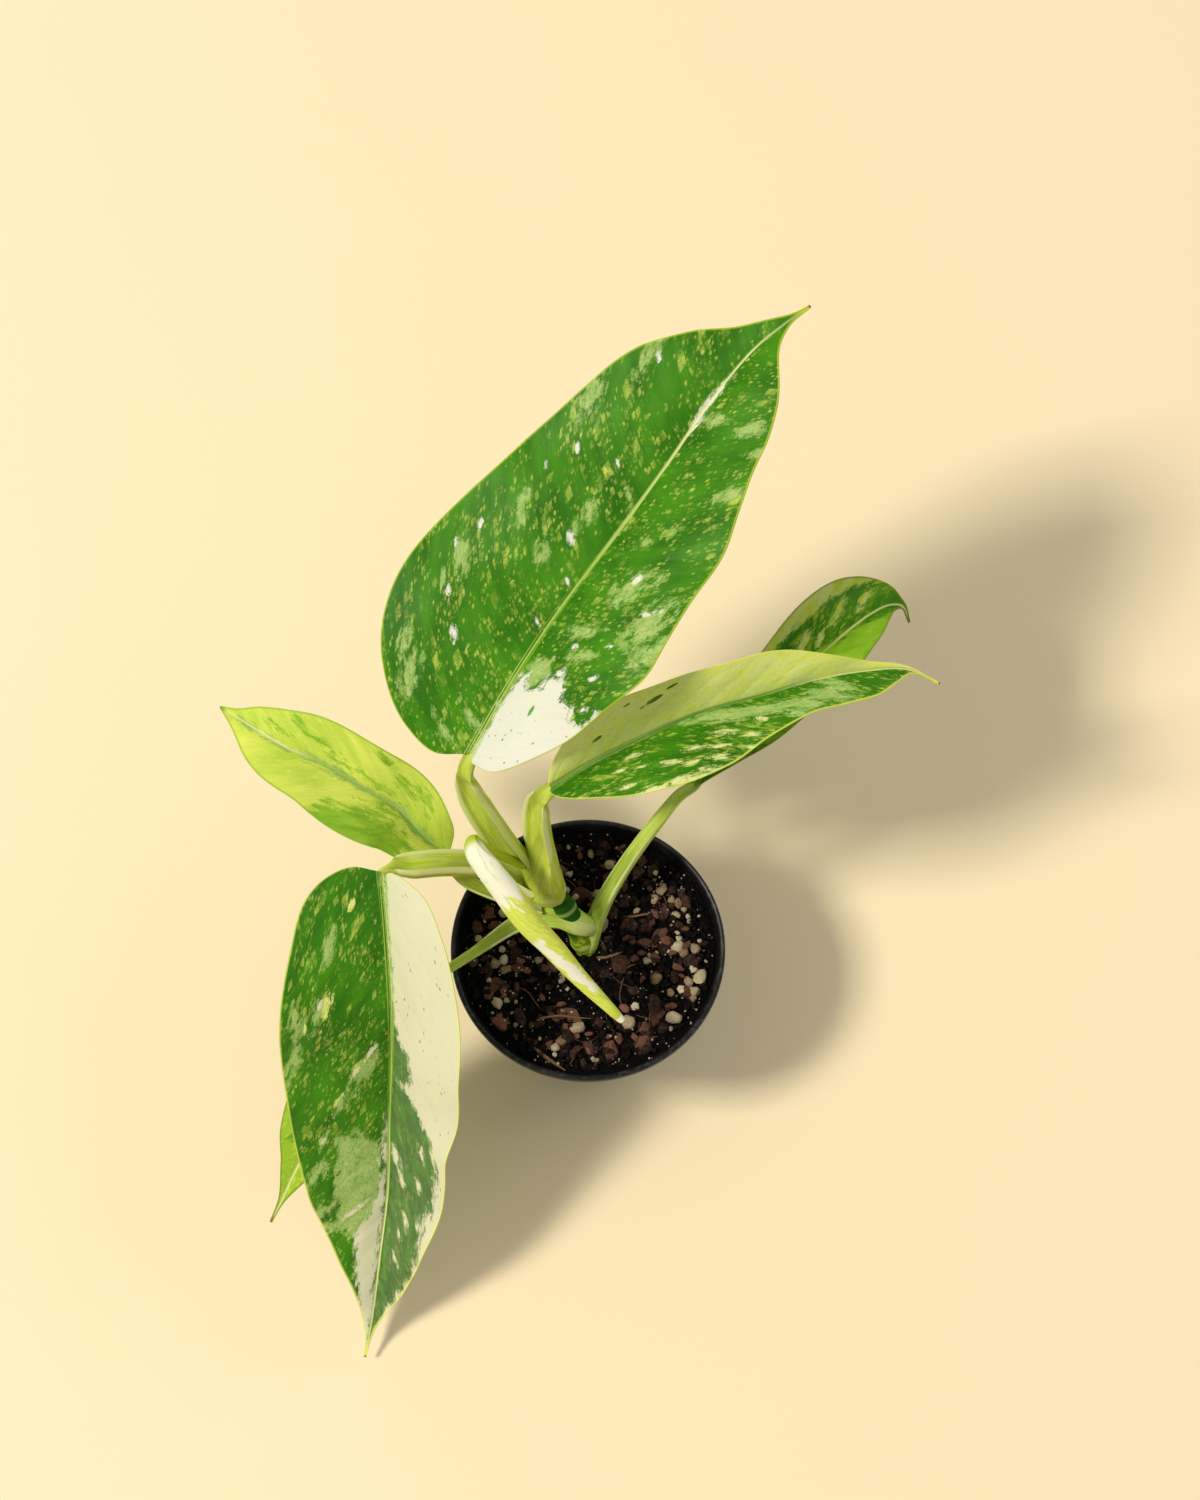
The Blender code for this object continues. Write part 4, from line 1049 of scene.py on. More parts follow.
def fibre_route(draw, x, y, length):
    """A wandering line over the mix, sunk at both its ends."""
    heading = draw.uniform(0, 2 * math.pi)
    bend = draw.uniform(-0.35, 0.35)
    points = []
    for index in range(FIBRE_STEPS):
        sink = -1.4 * MM if index in (0, FIBRE_STEPS - 1) else draw.uniform(0.3, 1.3) * MM
        reach = math.hypot(x, y / (1 - OVAL))
        if reach > MIX_REACH:
            x, y = x * MIX_REACH / reach, y * MIX_REACH / reach
        points.append((x / MM, y / MM, (soil_height(x, y) + sink) / MM))
        x += math.cos(heading) * length / FIBRE_STEPS
        y += math.sin(heading) * length / FIBRE_STEPS
        heading += bend + draw.uniform(-0.25, 0.25)
    return points


def fibres_piece(settings):
    """Fine roots and fibres of coir, joined in one piece."""
    draw, bm, tint = new_grains(settings, 3)
    routes = list(ROOTS)
    for _ in range(settings.fibres):
        x, y = scatter(draw, MIX_REACH - 4 * MM, GRAINS_CLEAR)
        length = draw.uniform(*FIBRE_LENGTHS) * MM
        routes.append((fibre_route(draw, x, y, length), draw.uniform(*FIBRE_RADII)))
    for index, (route, radius) in enumerate(routes):
        radii = [(0, radius * 0.5), (0.2, radius), (0.7, radius), (1, radius * 0.3)]
        strand = round_loft(f"strand_{index}", route, radii, 16, 6)
        laid = len(bm.verts)
        bm.from_mesh(strand.data)
        bm.verts.ensure_lookup_table()
        shade = 1.0 if index < len(ROOTS) else draw.uniform(0, 0.8)
        for vert in bm.verts[laid:]:
            vert[tint] = shade
        bpy.data.objects.remove(strand, do_unlink=True)
    return make_object("mix_fibres", bm)


# Materials


class Nodes:
    """Short calls that add nodes to one tree and join them."""

    def __init__(self, tree):
        self.tree = tree

    def add(self, kind, **values):
        """A new node with these values set on it."""
        node = self.tree.nodes.new(kind)
        for name, value in values.items():
            setattr(node, name, value)
        return node

    def feed(self, socket, value):
        """Set a socket to a value, or join another socket to it."""
        if isinstance(value, bpy.types.NodeSocket):
            self.tree.links.new(value, socket)
        else:
            socket.default_value = value

    def math(self, operation, first, second=0.0, clamp=False):
        """One Math node's result."""
        node = self.add("ShaderNodeMath", operation=operation, use_clamp=clamp)
        self.feed(node.inputs[0], first)
        self.feed(node.inputs[1], second)
        return node.outputs[0]

    def plus(self, first, second, clamp=False):
        """A sum."""
        return self.math("ADD", first, second, clamp)

    def minus(self, first, second, clamp=False):
        """A difference."""
        return self.math("SUBTRACT", first, second, clamp)

    def times(self, first, second):
        """A product."""
        return self.math("MULTIPLY", first, second)

    def mix(self, factor, first, second):
        """A mix of two colours."""
        node = self.add("ShaderNodeMix", data_type="RGBA")
        self.feed(node.inputs[0], factor)
        self.feed(node.inputs[6], first)
        self.feed(node.inputs[7], second)
        return node.outputs[2]

    def step(self, value, low, high, peak=1.0):
        """A smooth rise from 0 at low to the peak at high."""
        node = self.add("ShaderNodeMapRange", interpolation_type="SMOOTHSTEP")
        for name, given in (("Value", value), ("From Min", low), ("From Max", high), ("To Max", peak)):
            self.feed(node.inputs[name], given)
        return node.outputs[0]

    def stretch(self, vector, scale, shift=(0, 0, 0)):
        """A vector scaled along its three directions, or by one number in all of them, and shifted."""
        node = self.add("ShaderNodeMapping")
        self.feed(node.inputs["Vector"], vector)
        node.inputs["Location"].default_value = shift
        node.inputs["Scale"].default_value = scale if isinstance(scale, tuple) else (scale,) * 3
        return node.outputs[0]

    def noise(self, vector, scale, shift=(0, 0, 0), detail=3.0, rough=0.5, output="Fac"):
        """The value of a Noise texture on a scaled and shifted vector, or its colour."""
        node = self.add("ShaderNodeTexNoise")
        self.feed(node.inputs["Vector"], self.stretch(vector, scale, shift))
        for name, value in (("Scale", 1.0), ("Detail", detail), ("Roughness", rough)):
            node.inputs[name].default_value = value
        return node.outputs[output]

    def bend(self, vector, scale):
        """A vector moved about by a noise."""
        node = self.add("ShaderNodeVectorMath", operation="ADD")
        self.feed(node.inputs[0], vector)
        self.feed(node.inputs[1], self.noise(vector, scale, detail=2, output="Color"))
        return node.outputs[0]

    def cells(self, vector, scale, shift=(0, 0, 0), metric="CHEBYCHEV"):
        """The distance and two random values of the nearest Voronoi cell."""
        node = self.add("ShaderNodeTexVoronoi", feature="F1", distance=metric)
        self.feed(node.inputs["Vector"], self.stretch(vector, scale, shift))
        node.inputs["Scale"].default_value = 1
        parts = self.add("ShaderNodeSeparateColor")
        self.feed(parts.inputs[0], node.outputs["Color"])
        return node.outputs["Distance"], parts.outputs[0], parts.outputs[1]

    def kept(self, name, output="Vector"):
        """What the mesh keeps under this name, as a vector or as a number."""
        return self.add("ShaderNodeAttribute", attribute_name=name).outputs[output]

    def place(self):
        """The place on the object, in metres."""
        return self.add("ShaderNodeTexCoord").outputs["Object"]

    def parts(self, vector):
        """The three numbers of a vector."""
        node = self.add("ShaderNodeSeparateXYZ")
        self.feed(node.inputs[0], vector)
        return node.outputs

    def effect(self, name, **values):
        """Place a shared effect with its own values, and give its result."""
        node = self.add("ShaderNodeGroup", node_tree=effect_group(name))
        for label, value in values.items():
            self.feed(node.inputs[label.replace("_", " ").capitalize()], value)
        return node.outputs[0]


# Shared effects. They read a blade's grain in millimetres: along the midrib, out from it, and 0 on the
# upper side or 1 on the underside. The third number of a scale sets the patterns of the two sides apart.


def torn_patch(nodes, reads):
    """Mask of a marking whose edge is torn into large and small blocks along the veins."""
    bent = nodes.bend(reads["Grain"], (4.5, 2.5, 15))
    _, large, _ = nodes.cells(bent, (0.42, 0.3, 5))
    _, small, _ = nodes.cells(bent, (1.1, 0.7, 5))
    shift = nodes.plus(nodes.times(large, LARGE_TEAR), nodes.times(small, SMALL_TEAR))
    shift = nodes.times(nodes.minus(shift, (LARGE_TEAR + SMALL_TEAR) / 2), reads["Tear"])
    return nodes.step(nodes.plus(reads["Depth"], shift), -EDGE_BLUR, EDGE_BLUR)


def vein_flecks(nodes, reads):
    """Mask of short flecks of three sizes that lie along the veins, crowded in some places."""
    grain = reads["Grain"]
    crowd = nodes.step(nodes.noise(grain, (0.07, 0.05, 3), detail=2), 0.3, 0.72, reads["Amount"])
    bent = nodes.bend(grain, (5.5, 3, 15))
    mask = 0.0
    for scale, shift, share in (((0.8, 0.5, 5), 0, 1.4), ((0.45, 0.24, 5), 40, 1.0),
                                ((0.26, 0.14, 5), 80, 0.48)):
        distance, chance, size = nodes.cells(bent, scale, (shift, shift, 0))
        chosen = nodes.math("LESS_THAN", chance, nodes.times(crowd, share))
        gap = nodes.minus(distance, nodes.plus(nodes.times(size, 0.3), 0.1))
        fleck = nodes.times(chosen, nodes.step(gap, EDGE_BLUR, -EDGE_BLUR))
        mask = nodes.math("MAXIMUM", mask, fleck)
    return mask


def leaf_tone(nodes, reads):
    """Two tones of one colour in clouds and lines, with painted shade in the furrows of the main veins."""
    grain = reads["Grain"]
    clouds = nodes.step(nodes.noise(grain, (0.06, 0.035, 3), detail=4), 0.3, 0.7, 0.6)
    lines = nodes.step(nodes.noise(grain, (2.6, 0.09, 3)), 0.35, 0.65, 0.18)
    # Painted shade in step with the furrows of the relief: darker over the main veins, lighter between
    # them
    turn = nodes.math("DIVIDE", nodes.times(nodes.parts(grain)[0], math.pi), reads["Vein gap"])
    swell = nodes.times(nodes.math("ABSOLUTE", nodes.math("SINE", turn)), 0.14)
    tone = nodes.plus(nodes.plus(clouds, lines), swell, clamp=True)
    return nodes.mix(tone, reads["Dark"], reads["Light"])


def leaf_relief(nodes, reads):
    """Height of the fine veins between the main ones, and of the skin's small cells."""
    lines = nodes.noise(reads["Grain"], (1.4, 0.06, 3), detail=2)
    skin = nodes.noise(reads["Grain"], (3, 2, 3))
    return nodes.plus(nodes.times(lines, 0.7), nodes.times(skin, 0.3))


# Each effect: what builds it, its inputs, and its output
EFFECTS = {
    "torn patch": (torn_patch, {"Depth": "Float", "Grain": "Vector", "Tear": "Float"}, ("Mask", "Float")),
    "vein flecks": (vein_flecks, {"Grain": "Vector", "Amount": "Float"}, ("Mask", "Float")),
    "leaf tone": (leaf_tone, {"Grain": "Vector", "Dark": "Color", "Light": "Color", "Vein gap": "Float"},
                  ("Colour", "Color")),
    "leaf relief": (leaf_relief, {"Grain": "Vector"}, ("Height", "Float")),
}


def effect_group(name):
    """The node group of a shared effect, built where it is first asked for."""
    if name in bpy.data.node_groups:
        return bpy.data.node_groups[name]
    build, inputs, output = EFFECTS[name]
    tree = bpy.data.node_groups.new(name, "ShaderNodeTree")
    for label, kind in inputs.items():
        tree.interface.new_socket(name=label, in_out="INPUT", socket_type=f"NodeSocket{kind}")
    tree.interface.new_socket(name=output[0], in_out="OUTPUT", socket_type=f"NodeSocket{output[1]}")
    nodes = Nodes(tree)
    reads = nodes.add("NodeGroupInput").outputs
    gives = nodes.add("NodeGroupOutput").inputs
    nodes.feed(gives[0], build(nodes, reads))
    return tree


def new_material(name, specular, roughness=0.5, glow=None):
    """A material, its nodes and its shader; glow is the weight, colour and reach of light in the skin."""
    material = bpy.data.materials.new(name)
    material.use_nodes = True
    shader = material.node_tree.nodes["Principled BSDF"]
    shader.inputs["Specular IOR Level"].default_value = specular
    shader.inputs["Roughness"].default_value = roughness
    if glow:
        for label, value in zip(("Weight", "Radius", "Scale"), glow):
            shader.inputs[f"Subsurface {label}"].default_value = value
    return material, Nodes(material.node_tree), shader


def paint(nodes, shader, colour, height, relief, strength=1.0):
    """Join a colour to a shader, and a height as relief."""
    nodes.feed(shader.inputs["Base Color"], colour)
    bump = nodes.add("ShaderNodeBump")
    bump.inputs["Strength"].default_value = strength
    bump.inputs["Distance"].default_value = relief
    nodes.feed(bump.inputs["Height"], height)
    nodes.feed(shader.inputs["Normal"], bump.outputs[0])


# Finish of each blade: the settings that colour its two ground tones, its pale part, its parts without
# green, its flecks, its midrib, its margin and its green markings, then the share of its flecks, and how
# far the edges of its pale, grey, cream and green markings and of its last cream bits are torn.
BladeFinish = namedtuple("BladeFinish", "dark light pale cream fleck rib margin marks share tears")
BLADE_FINISHES = {
    "leaf_large_back": BladeFinish(
        "deep_green", "fresh_green", "yellow_green", "cream", "fleck", "lime_green", "stalk_green",
        "fresh_green", 0.8, (0.6, 1.1, 0.95, 0.4, 0)),
    "leaf_folded_right": BladeFinish(
        "deep_green", "fresh_green", "yellow_green", "straw", "fleck", "fresh_green", "yellow_green",
        "stem_green", 1.2, (0, 0.9, 1.35, 0.2, 0)),
    "leaf_small_right": BladeFinish(
        "deep_green", "fresh_green", "stalk_green", "cream", "stalk_green", "lime_green", "olive",
        "lime_green", 1.2, (0.9, 0.9, 0.8, 1.3, 0)),
    "leaf_yellow_left": BladeFinish(
        "spring_green", "yellow_green", "yellow_green", "cream", "yellow_green", "lime_green",
        "lime_green", "lime_green", 0.7, (0.8, 1.2, 0.8, 2.0, 0)),
    "leaf_hanging_front": BladeFinish(
        "deep_green", "fresh_green", "yellow_green", "ivory", "fleck", "lime_green", "yellow_green",
        "deep_green", 0.95, (0.8, 1.1, 0.9, 1.1, 1.3)),
    "leaf_small_front": BladeFinish(
        "lime_green", "spring_green", "yellow_green", "cream", "yellow_green", "lime_green", "olive",
        "fresh_green", 0.9, (0.8, 0.8, 0.8, 1.2, 0)),
}
COLOURED = ("dark", "light", "pale", "cream", "fleck", "rib", "margin", "marks")


def blade_ground(nodes, grain, masks, finish, settings, vein_gap):
    """Green and pale skin of a blade, with its flecks, and the mask of the flecks."""
    # The leaf tone holds painted shade in the furrows over the main veins
    ground = nodes.effect("leaf tone", grain=grain, dark=finish.dark, light=finish.light,
                          vein_gap=vein_gap)
    clouds = nodes.noise(grain, (0.22, 0.1, 3), detail=5, rough=0.65)
    faded = nodes.mix(0.25, finish.pale, settings.cream)
    pale = nodes.mix(nodes.step(clouds, 0.4, 0.66), faded, finish.pale)
    shade = nodes.noise(grain, (0.5, 0.25, 3), (5, 1, 0), detail=5, rough=0.7)
    pale = nodes.mix(nodes.step(shade, 0.48, 0.7, 0.18), pale, settings.olive)
    grit = nodes.noise(grain, (2.2, 1.3, 3), detail=2, rough=0.7)
    pale = nodes.mix(nodes.step(grit, 0.52, 0.68, 0.22), pale, settings.olive)
    colour = nodes.mix(masks["pale"], ground, pale)

    flecks = nodes.effect("vein flecks", grain=grain, amount=settings.flecks * finish.share)
    faint = nodes.noise(grain, (0.4, 0.2, 3), (7, 7, 0), detail=1)
    flecks = nodes.times(flecks, nodes.plus(nodes.step(faint, 0.35, 0.7, 0.55), 0.45))
    on_green = nodes.times(flecks, nodes.minus(1.0, masks["pale"]))
    return nodes.mix(on_green, colour, finish.fleck), flecks


def blade_patches(nodes, grain, colour, masks, flecks, finish, settings):
    """Grey, cream and green markings and the last cream bits, laid over the skin of a blade."""
    _, grit, _ = nodes.cells(grain, (1.7, 1.1, 5), (3, 3, 0))
    shade = nodes.noise(grain, (0.3, 0.12, 3), (3, 9, 0), detail=4)
    depth = nodes.plus(nodes.step(grit, 0.25, 0.6, 0.35), nodes.step(shade, 0.36, 0.6, 0.25))
    grey = nodes.mix(nodes.plus(depth, 0.4), settings.fresh_green, settings.grey_green)
    colour = nodes.mix(masks["grey"], colour, grey)

    blush = nodes.noise(grain, (0.12, 0.08, 3))
    cream = nodes.mix(nodes.step(blush, 0.5, 0.85, 0.2), finish.cream, settings.yellow_green)
    lines = nodes.noise(grain, (0.8, 0.04, 3))
    cream = nodes.mix(nodes.step(lines, 0.5, 0.7, 0.05), cream, settings.olive)
    distance, chance, size = nodes.cells(grain, (0.55, 0.4, 5), (31, 5, 0), "EUCLIDEAN")
    crowd = nodes.step(nodes.noise(grain, (0.06, 0.06, 3), (2, 4, 0), detail=1), 0.4, 0.65, 0.6)
    speck = nodes.times(nodes.math("LESS_THAN", chance, crowd), nodes.step(distance, 0.24, 0.14))
    cream = nodes.mix(nodes.times(speck, size), cream, settings.deep_green)
    colour = nodes.mix(masks["cream"], colour, cream)

    marks = nodes.mix(nodes.step(shade, 0.35, 0.8, 0.7), finish.marks, settings.fresh_green)
    marks = nodes.mix(nodes.times(flecks, 0.35), marks, finish.fleck)
    colour = nodes.mix(nodes.times(masks["green"], 0.9), colour, marks)
    return nodes.mix(masks["bits"], colour, cream)


def blade_edges(nodes, grain, colour, finish, settings):
    """The lined midrib, the thin margin and the dry tip, laid over the skin of a blade."""
    rib, away, rim = nodes.parts(nodes.kept("spread"))
    width = nodes.plus(nodes.times(nodes.math("POWER", nodes.minus(1.0, rib), 2.0), 2.0), 0.4)
    on_rib = nodes.step(nodes.minus(away, width), 0.35, -0.35)
    streaks = nodes.noise(grain, (0.015, 1.2, 3), detail=1)
    rib_colour = nodes.mix(nodes.step(streaks, 0.46, 0.56, 0.5), finish.rib, settings.wing)
    rib_colour = nodes.mix(nodes.step(rib, 0.55, 0.72), rib_colour, settings.wing)
    lines = nodes.step(nodes.math("SINE", nodes.times(away, RIB_LINES)), -0.7, 0.3)
    shown = nodes.plus(lines, nodes.step(rib, 0.25, 0.6), clamp=True)
    shown = nodes.times(nodes.times(on_rib, shown), nodes.step(streaks, 0.3, 0.5))
    colour = nodes.mix(shown, colour, rib_colour)
    colour = nodes.mix(nodes.step(rim, 0.8, 0.2, 0.7), colour, finish.margin)
    colour = nodes.mix(nodes.step(rib, 0.93, 0.98), colour, finish.margin)
    return nodes.mix(nodes.step(rib, 0.985, 0.995), colour, settings.tip)


def blade_material(name, settings):
    """Variegated skin of one blade, duller and greyer on its underside."""
    finish = BLADE_FINISHES[name]
    finish = finish._replace(**{part: getattr(settings, getattr(finish, part)) for part in COLOURED})
    # The gap between the main veins also spaces the painted furrow shade of the leaf tone
    slant = math.hypot(1, BLADES[name].lean + VEIN_BEND)
    vein_gap = BLADES[name].vein_gap / slant
    material, nodes, shader = new_material(name.replace("leaf", "blade"), 0.13,
                                           glow=(0.12, (0.9, 1.0, 0.3), 0.6 * MM))
    grain = nodes.stretch(nodes.kept("grain"), (1 / slant, slant, 1))
    masks = {}
    for kind, tear in zip(KINDS, finish.tears):
        masks[kind] = nodes.effect("torn patch", depth=nodes.kept(kind, "Fac"), grain=grain, tear=tear)
    colour, flecks = blade_ground(nodes, grain, masks, finish, settings, vein_gap)
    colour = blade_patches(nodes, grain, colour, masks, flecks, finish, settings)
    colour = blade_edges(nodes, grain, colour, finish, settings)

    under = nodes.parts(grain)[2]
    colour = nodes.mix(under, colour, nodes.mix(0.35, colour, settings.grey_green))
    gloss = nodes.times(nodes.noise(grain, (0.3, 0.2, 3), detail=2), 0.16)
    roughness = nodes.plus(nodes.plus(gloss, 0.42), nodes.times(under, 0.15))
    nodes.feed(shader.inputs["Roughness"], roughness)
    paint(nodes, shader, colour, nodes.effect("leaf relief", grain=grain), 0.06 * MM)
    return material


def stalk_material(name, settings):
    """Streaked skin of a stalk, paler on its wings and at its foot."""
    material, nodes, shader = new_material(name.replace("leaf", "stalk"), 0.2, 0.4,
                                           glow=(0.15, (1.0, 1.0, 0.3), 1.5 * MM))
    grain = nodes.kept("grain")
    along, _, wing = nodes.parts(grain)
    # Spring green for the young stalks: on the small right leaf's stalk a lighter colour as painted light,
    # where the leaves above shade it
    base = settings.spring_green if name in YOUNG_STALKS_WITH_PAINTED_LIGHT else settings.stalk_green
    streaks = nodes.noise(grain, (0.06, 1.3, 1), detail=4)
    colour = nodes.mix(nodes.step(streaks, 0.38, 0.62), base, nodes.mix(0.35, base, settings.wing))
    cloud = nodes.noise(grain, (0.06, 0.14, 1))
    colour = nodes.mix(nodes.step(cloud, 0.42, 0.62, 0.45), colour, settings.olive)
    foot = nodes.times(nodes.step(along, 11, 4, 0.5), nodes.step(cloud, 0.5, 0.58))
    colour = nodes.mix(foot, colour, settings.wing)
    colour = nodes.mix(nodes.step(wing, 0.35, 0.75, 0.8), colour, settings.wing)
    paint(nodes, shader, colour, streaks, 0.2 * MM, 0.6)
    return material


def rolled_material(settings):
    """Skin of the rolled leaf: white lightened as painted light, then yellow-green with a white stripe,
    and white at its tip.
    """
    material, nodes, shader = new_material("rolled_leaf", 0.2, 0.42,
                                           glow=(0.2, (1.0, 1.0, 0.5), 1.5 * MM))
    grain = nodes.kept("grain")
    along, _, turn = nodes.parts(grain)
    tear = nodes.times(nodes.minus(nodes.noise(grain, (0.16, 0.7, 0), detail=4), 0.5), 20)
    # The roll's white is the lightened one, painted light on the partly shaded roll
    white = nodes.mix(nodes.step(tear, 0, 4, 0.35), settings.bleached, settings.grey_green)
    streaks = nodes.noise(grain, (0.3, 1.4, 0), detail=4)
    lime = nodes.mix(nodes.step(streaks, 0.3, 0.7, 0.6), settings.yellow_green, settings.stalk_green)
    colour = nodes.mix(nodes.step(nodes.plus(along, tear), 48, 49), white, lime)

    jag = nodes.minus(nodes.noise(grain, (0.22, 0.3, 0), (9, 4, 0), detail=4), 0.5)
    off_stripe = nodes.math("ABSOLUTE", nodes.minus(nodes.plus(turn, nodes.times(jag, 0.3)), 0.5))
    stripe = nodes.times(nodes.step(off_stripe, 0.1, 0.09), nodes.step(along, 60, 63))
    stripe = nodes.times(stripe, nodes.step(along, 88, 85))
    colour = nodes.mix(stripe, colour, settings.bleached)
    for low, high, skin in ((93, 100, settings.stalk_green), (97.5, 98.5, settings.bleached),
                            (30, 27.5, settings.stalk_green)):
        colour = nodes.mix(nodes.step(along, low, high), colour, skin)
    paint(nodes, shader, colour, streaks, 0.25 * MM, 0.7)
    return material


def stem_material(settings):
    """Dark green skin of the stem, husky at its foot, with two pale scars."""
    material, nodes, shader = new_material("stem_skin", 0.1, 0.55)
    grain = nodes.kept("grain")
    along = nodes.parts(grain)[0]
    mottle = nodes.noise(grain, (0.25, 0.3, 0), detail=4)
    colour = nodes.mix(nodes.step(mottle, 0.35, 0.7), settings.stem_green, settings.deep_green)
    husk = nodes.mix(nodes.step(mottle, 0.4, 0.6), settings.olive, settings.stalk_green)
    colour = nodes.mix(nodes.step(along, 62, 50, 0.7), colour, husk)
    for centre, reach in ((46, 3), (78, 2.5)):
        distance = nodes.math("ABSOLUTE", nodes.minus(along, centre))
        colour = nodes.mix(nodes.step(distance, reach, 0, 0.6), colour, settings.grey_green)
    paint(nodes, shader, colour, mottle, 0.3 * MM, 0.6)
    return material


def pot_material(settings):
    """Black moulded plastic, scuffed at its lip and dusty all over."""
    material, nodes, shader = new_material("moulded_plastic", 0.3)
    place = nodes.place()
    at_lip = nodes.step(nodes.parts(place)[2], POT_HEIGHT - 1.5 * MM, POT_HEIGHT - 0.2 * MM)
    scuffs = nodes.step(nodes.noise(place, 420, detail=5, rough=0.7), 0.45, 0.75, settings.wear)
    dust = nodes.noise(place, 70, detail=4)
    amount = nodes.math("MAXIMUM", nodes.times(scuffs, at_lip), nodes.step(dust, 0.5, 0.8, 0.12))
    nodes.feed(shader.inputs["Roughness"], nodes.plus(nodes.times(dust, 0.2), 0.3))
    colour = nodes.mix(amount, settings.plastic, settings.scuff)
    paint(nodes, shader, colour, nodes.noise(place, 1500, detail=2), 0.05 * MM, 0.5)
    return material


# Finish of each kind of grain in the mix: the settings that colour its darkest and its palest grains,
# its roughness, its mottles and their relief in millimetres, the share of its specks of pale dust, and
# the angle in degrees above which its edges stay sharp. Mottles and specks are counted per metre.
Coat = namedtuple("Coat", "dark light roughness mottles relief dust sharp_angle")
COATS = {
    # The fine mix's darkest tone is partly painted shade of the hollows between the grains
    "fine_mix": Coat("damp", "dark", 0.95, 900, 0.6, 0.06, 40),
    "crumbs": Coat("dark", "brown", 0.95, 1200, 0.3, 0.05, 30),
    "bark": Coat("brown", "bark_red", 0.85, 700, 0.4, 0.02, 30),
    "pumice": Coat("pumice_dusk", "pumice_pale", 0.9, 1100, 0.9, 0, 60),
    "fibres": Coat("brown", "pumice_dusk", 0.8, 900, 0.1, 0, 60),
}
DUST_SPECKS = 900


def mix_material(name, settings):
    """A grain of the mix between two colours, by its own tint and by fine mottling, with pale dust."""
    coat = COATS[name]
    material, nodes, shader = new_material(name, 0.12, coat.roughness)
    place = nodes.place()
    mottle = nodes.noise(place, coat.mottles, detail=5, rough=0.65)
    share = nodes.plus(nodes.times(nodes.kept("tint", "Fac"), 0.8), mottle)
    share = nodes.minus(share, 0.45, clamp=True)
    colour = nodes.mix(share, getattr(settings, coat.dark), getattr(settings, coat.light))
    distance, chance, _ = nodes.cells(place, DUST_SPECKS, metric="EUCLIDEAN")
    speck = nodes.times(nodes.math("LESS_THAN", chance, coat.dust), nodes.step(distance, 0.45, 0.3, 0.7))
    colour = nodes.mix(speck, colour, settings.pumice_pale)
    paint(nodes, shader, colour, mottle, coat.relief * MM)
    return material


# Operators


class PLANT_OT_pot(bpy.types.Operator):
    """Build the nursery pot"""

    bl_idname = "plant.build_pot"
    bl_label = "Pot"

    def execute(self, context):
        dress(pot_piece(), "pot", pot_material(context.scene.plant_pot), 35)
        return {"FINISHED"}


class PLANT_OT_mix(bpy.types.Operator):
    """Build the potting mix: its bed, crumbs, bark, pumice and fibres"""

    bl_idname = "plant.build_mix"
    bl_label = "Potting mix"

    def execute(self, context):
        settings = context.scene.plant_mix
        pieces = {
            "fine_mix": bed_piece(),
            "crumbs": crumbs_piece(settings),
            "bark": bark_piece(settings),
            "pumice": pumice_piece(settings),
            "fibres": fibres_piece(settings),
        }
        for name, piece in pieces.items():
            dress(piece, "soil", mix_material(name, settings), COATS[name].sharp_angle)
        return {"FINISHED"}


class PLANT_OT_stem(bpy.types.Operator):
    """Build the short stem"""

    bl_idname = "plant.build_stem"
    bl_label = "Stem"

    def execute(self, context):
        stem = round_loft("short_stem", STEM_ROUTE, STEM_RADII, STEM_ROWS, STEM_POINTS)
        dress(stem, "stem", stem_material(context.scene.plant_foliage), 60)
        return {"FINISHED"}


class PLANT_OT_leaf(bpy.types.Operator):
    """Build one leaf: its blade and its stalk"""

    bl_idname = "plant.build_leaf"
    bl_label = "Leaf"

    leaf: EnumProperty(
        name="Leaf", description="Which leaf to build",
        items=[(name, name.replace("_", " ").capitalize(), "") for name in BLADES])

    def execute(self, context):
        settings = context.scene.plant_foliage
        dress(blade_piece(self.leaf, settings), self.leaf, blade_material(self.leaf, settings), 60)
        dress(stalk_piece(self.leaf), self.leaf, stalk_material(self.leaf, settings), 60)
        return {"FINISHED"}


class PLANT_OT_rolled_leaf(bpy.types.Operator):
    """Build the rolled young leaf"""

    bl_idname = "plant.build_rolled_leaf"
    bl_label = "Rolled leaf"

    def execute(self, context):
        rolled = round_loft("rolled_leaf", ROLLED_ROUTE, ROLLED_RADII, ROLLED_ROWS, ROLLED_POINTS,
                            ROLLED_SEAM, ROLLED_TWIST)
        dress(rolled, "leaf_rolled", rolled_material(context.scene.plant_foliage), 50)
        return {"FINISHED"}


class PLANT_OT_stage(bpy.types.Operator):
    """Build the floor, the lights and the camera"""

    bl_idname = "plant.build_stage"
    bl_label = "Stage"

    def execute(self, context):
        settings = context.scene.plant_stage
        build_floor(settings)
        build_lights(settings)
        build_camera()
        return {"FINISHED"}


def build_floor(settings):
    """A plain pale floor."""
    bm = bmesh.new()
    bmesh.ops.create_grid(bm, x_segments=1, y_segments=1, size=FLOOR_REACH)
    floor = make_object("floor", bm)
    material, nodes, shader = new_material("plain_floor", 0.1, 0.9)
    shade = [channel * 0.96 for channel in settings.floor[:3]]
    cloud = nodes.noise(nodes.place(), 3, detail=2)
    nodes.feed(shader.inputs["Base Color"], nodes.mix(cloud, settings.floor, (*shade, 1)))
    floor.data.materials.append(material)


def add_area(name, place, size, power, colour):
    """A square light that faces the plant."""
    light = bpy.data.lights.new(name, "AREA")
    light.shape = "SQUARE"
    light.size = size
    light.energy = power
    light.color = colour
    lamp = bpy.data.objects.new(name, light)
    lamp.location = place
    lamp.rotation_euler = (Vector(LIGHT_TARGET) - Vector(place)).to_track_quat("-Z", "Y").to_euler()
    bpy.context.scene.collection.objects.link(lamp)


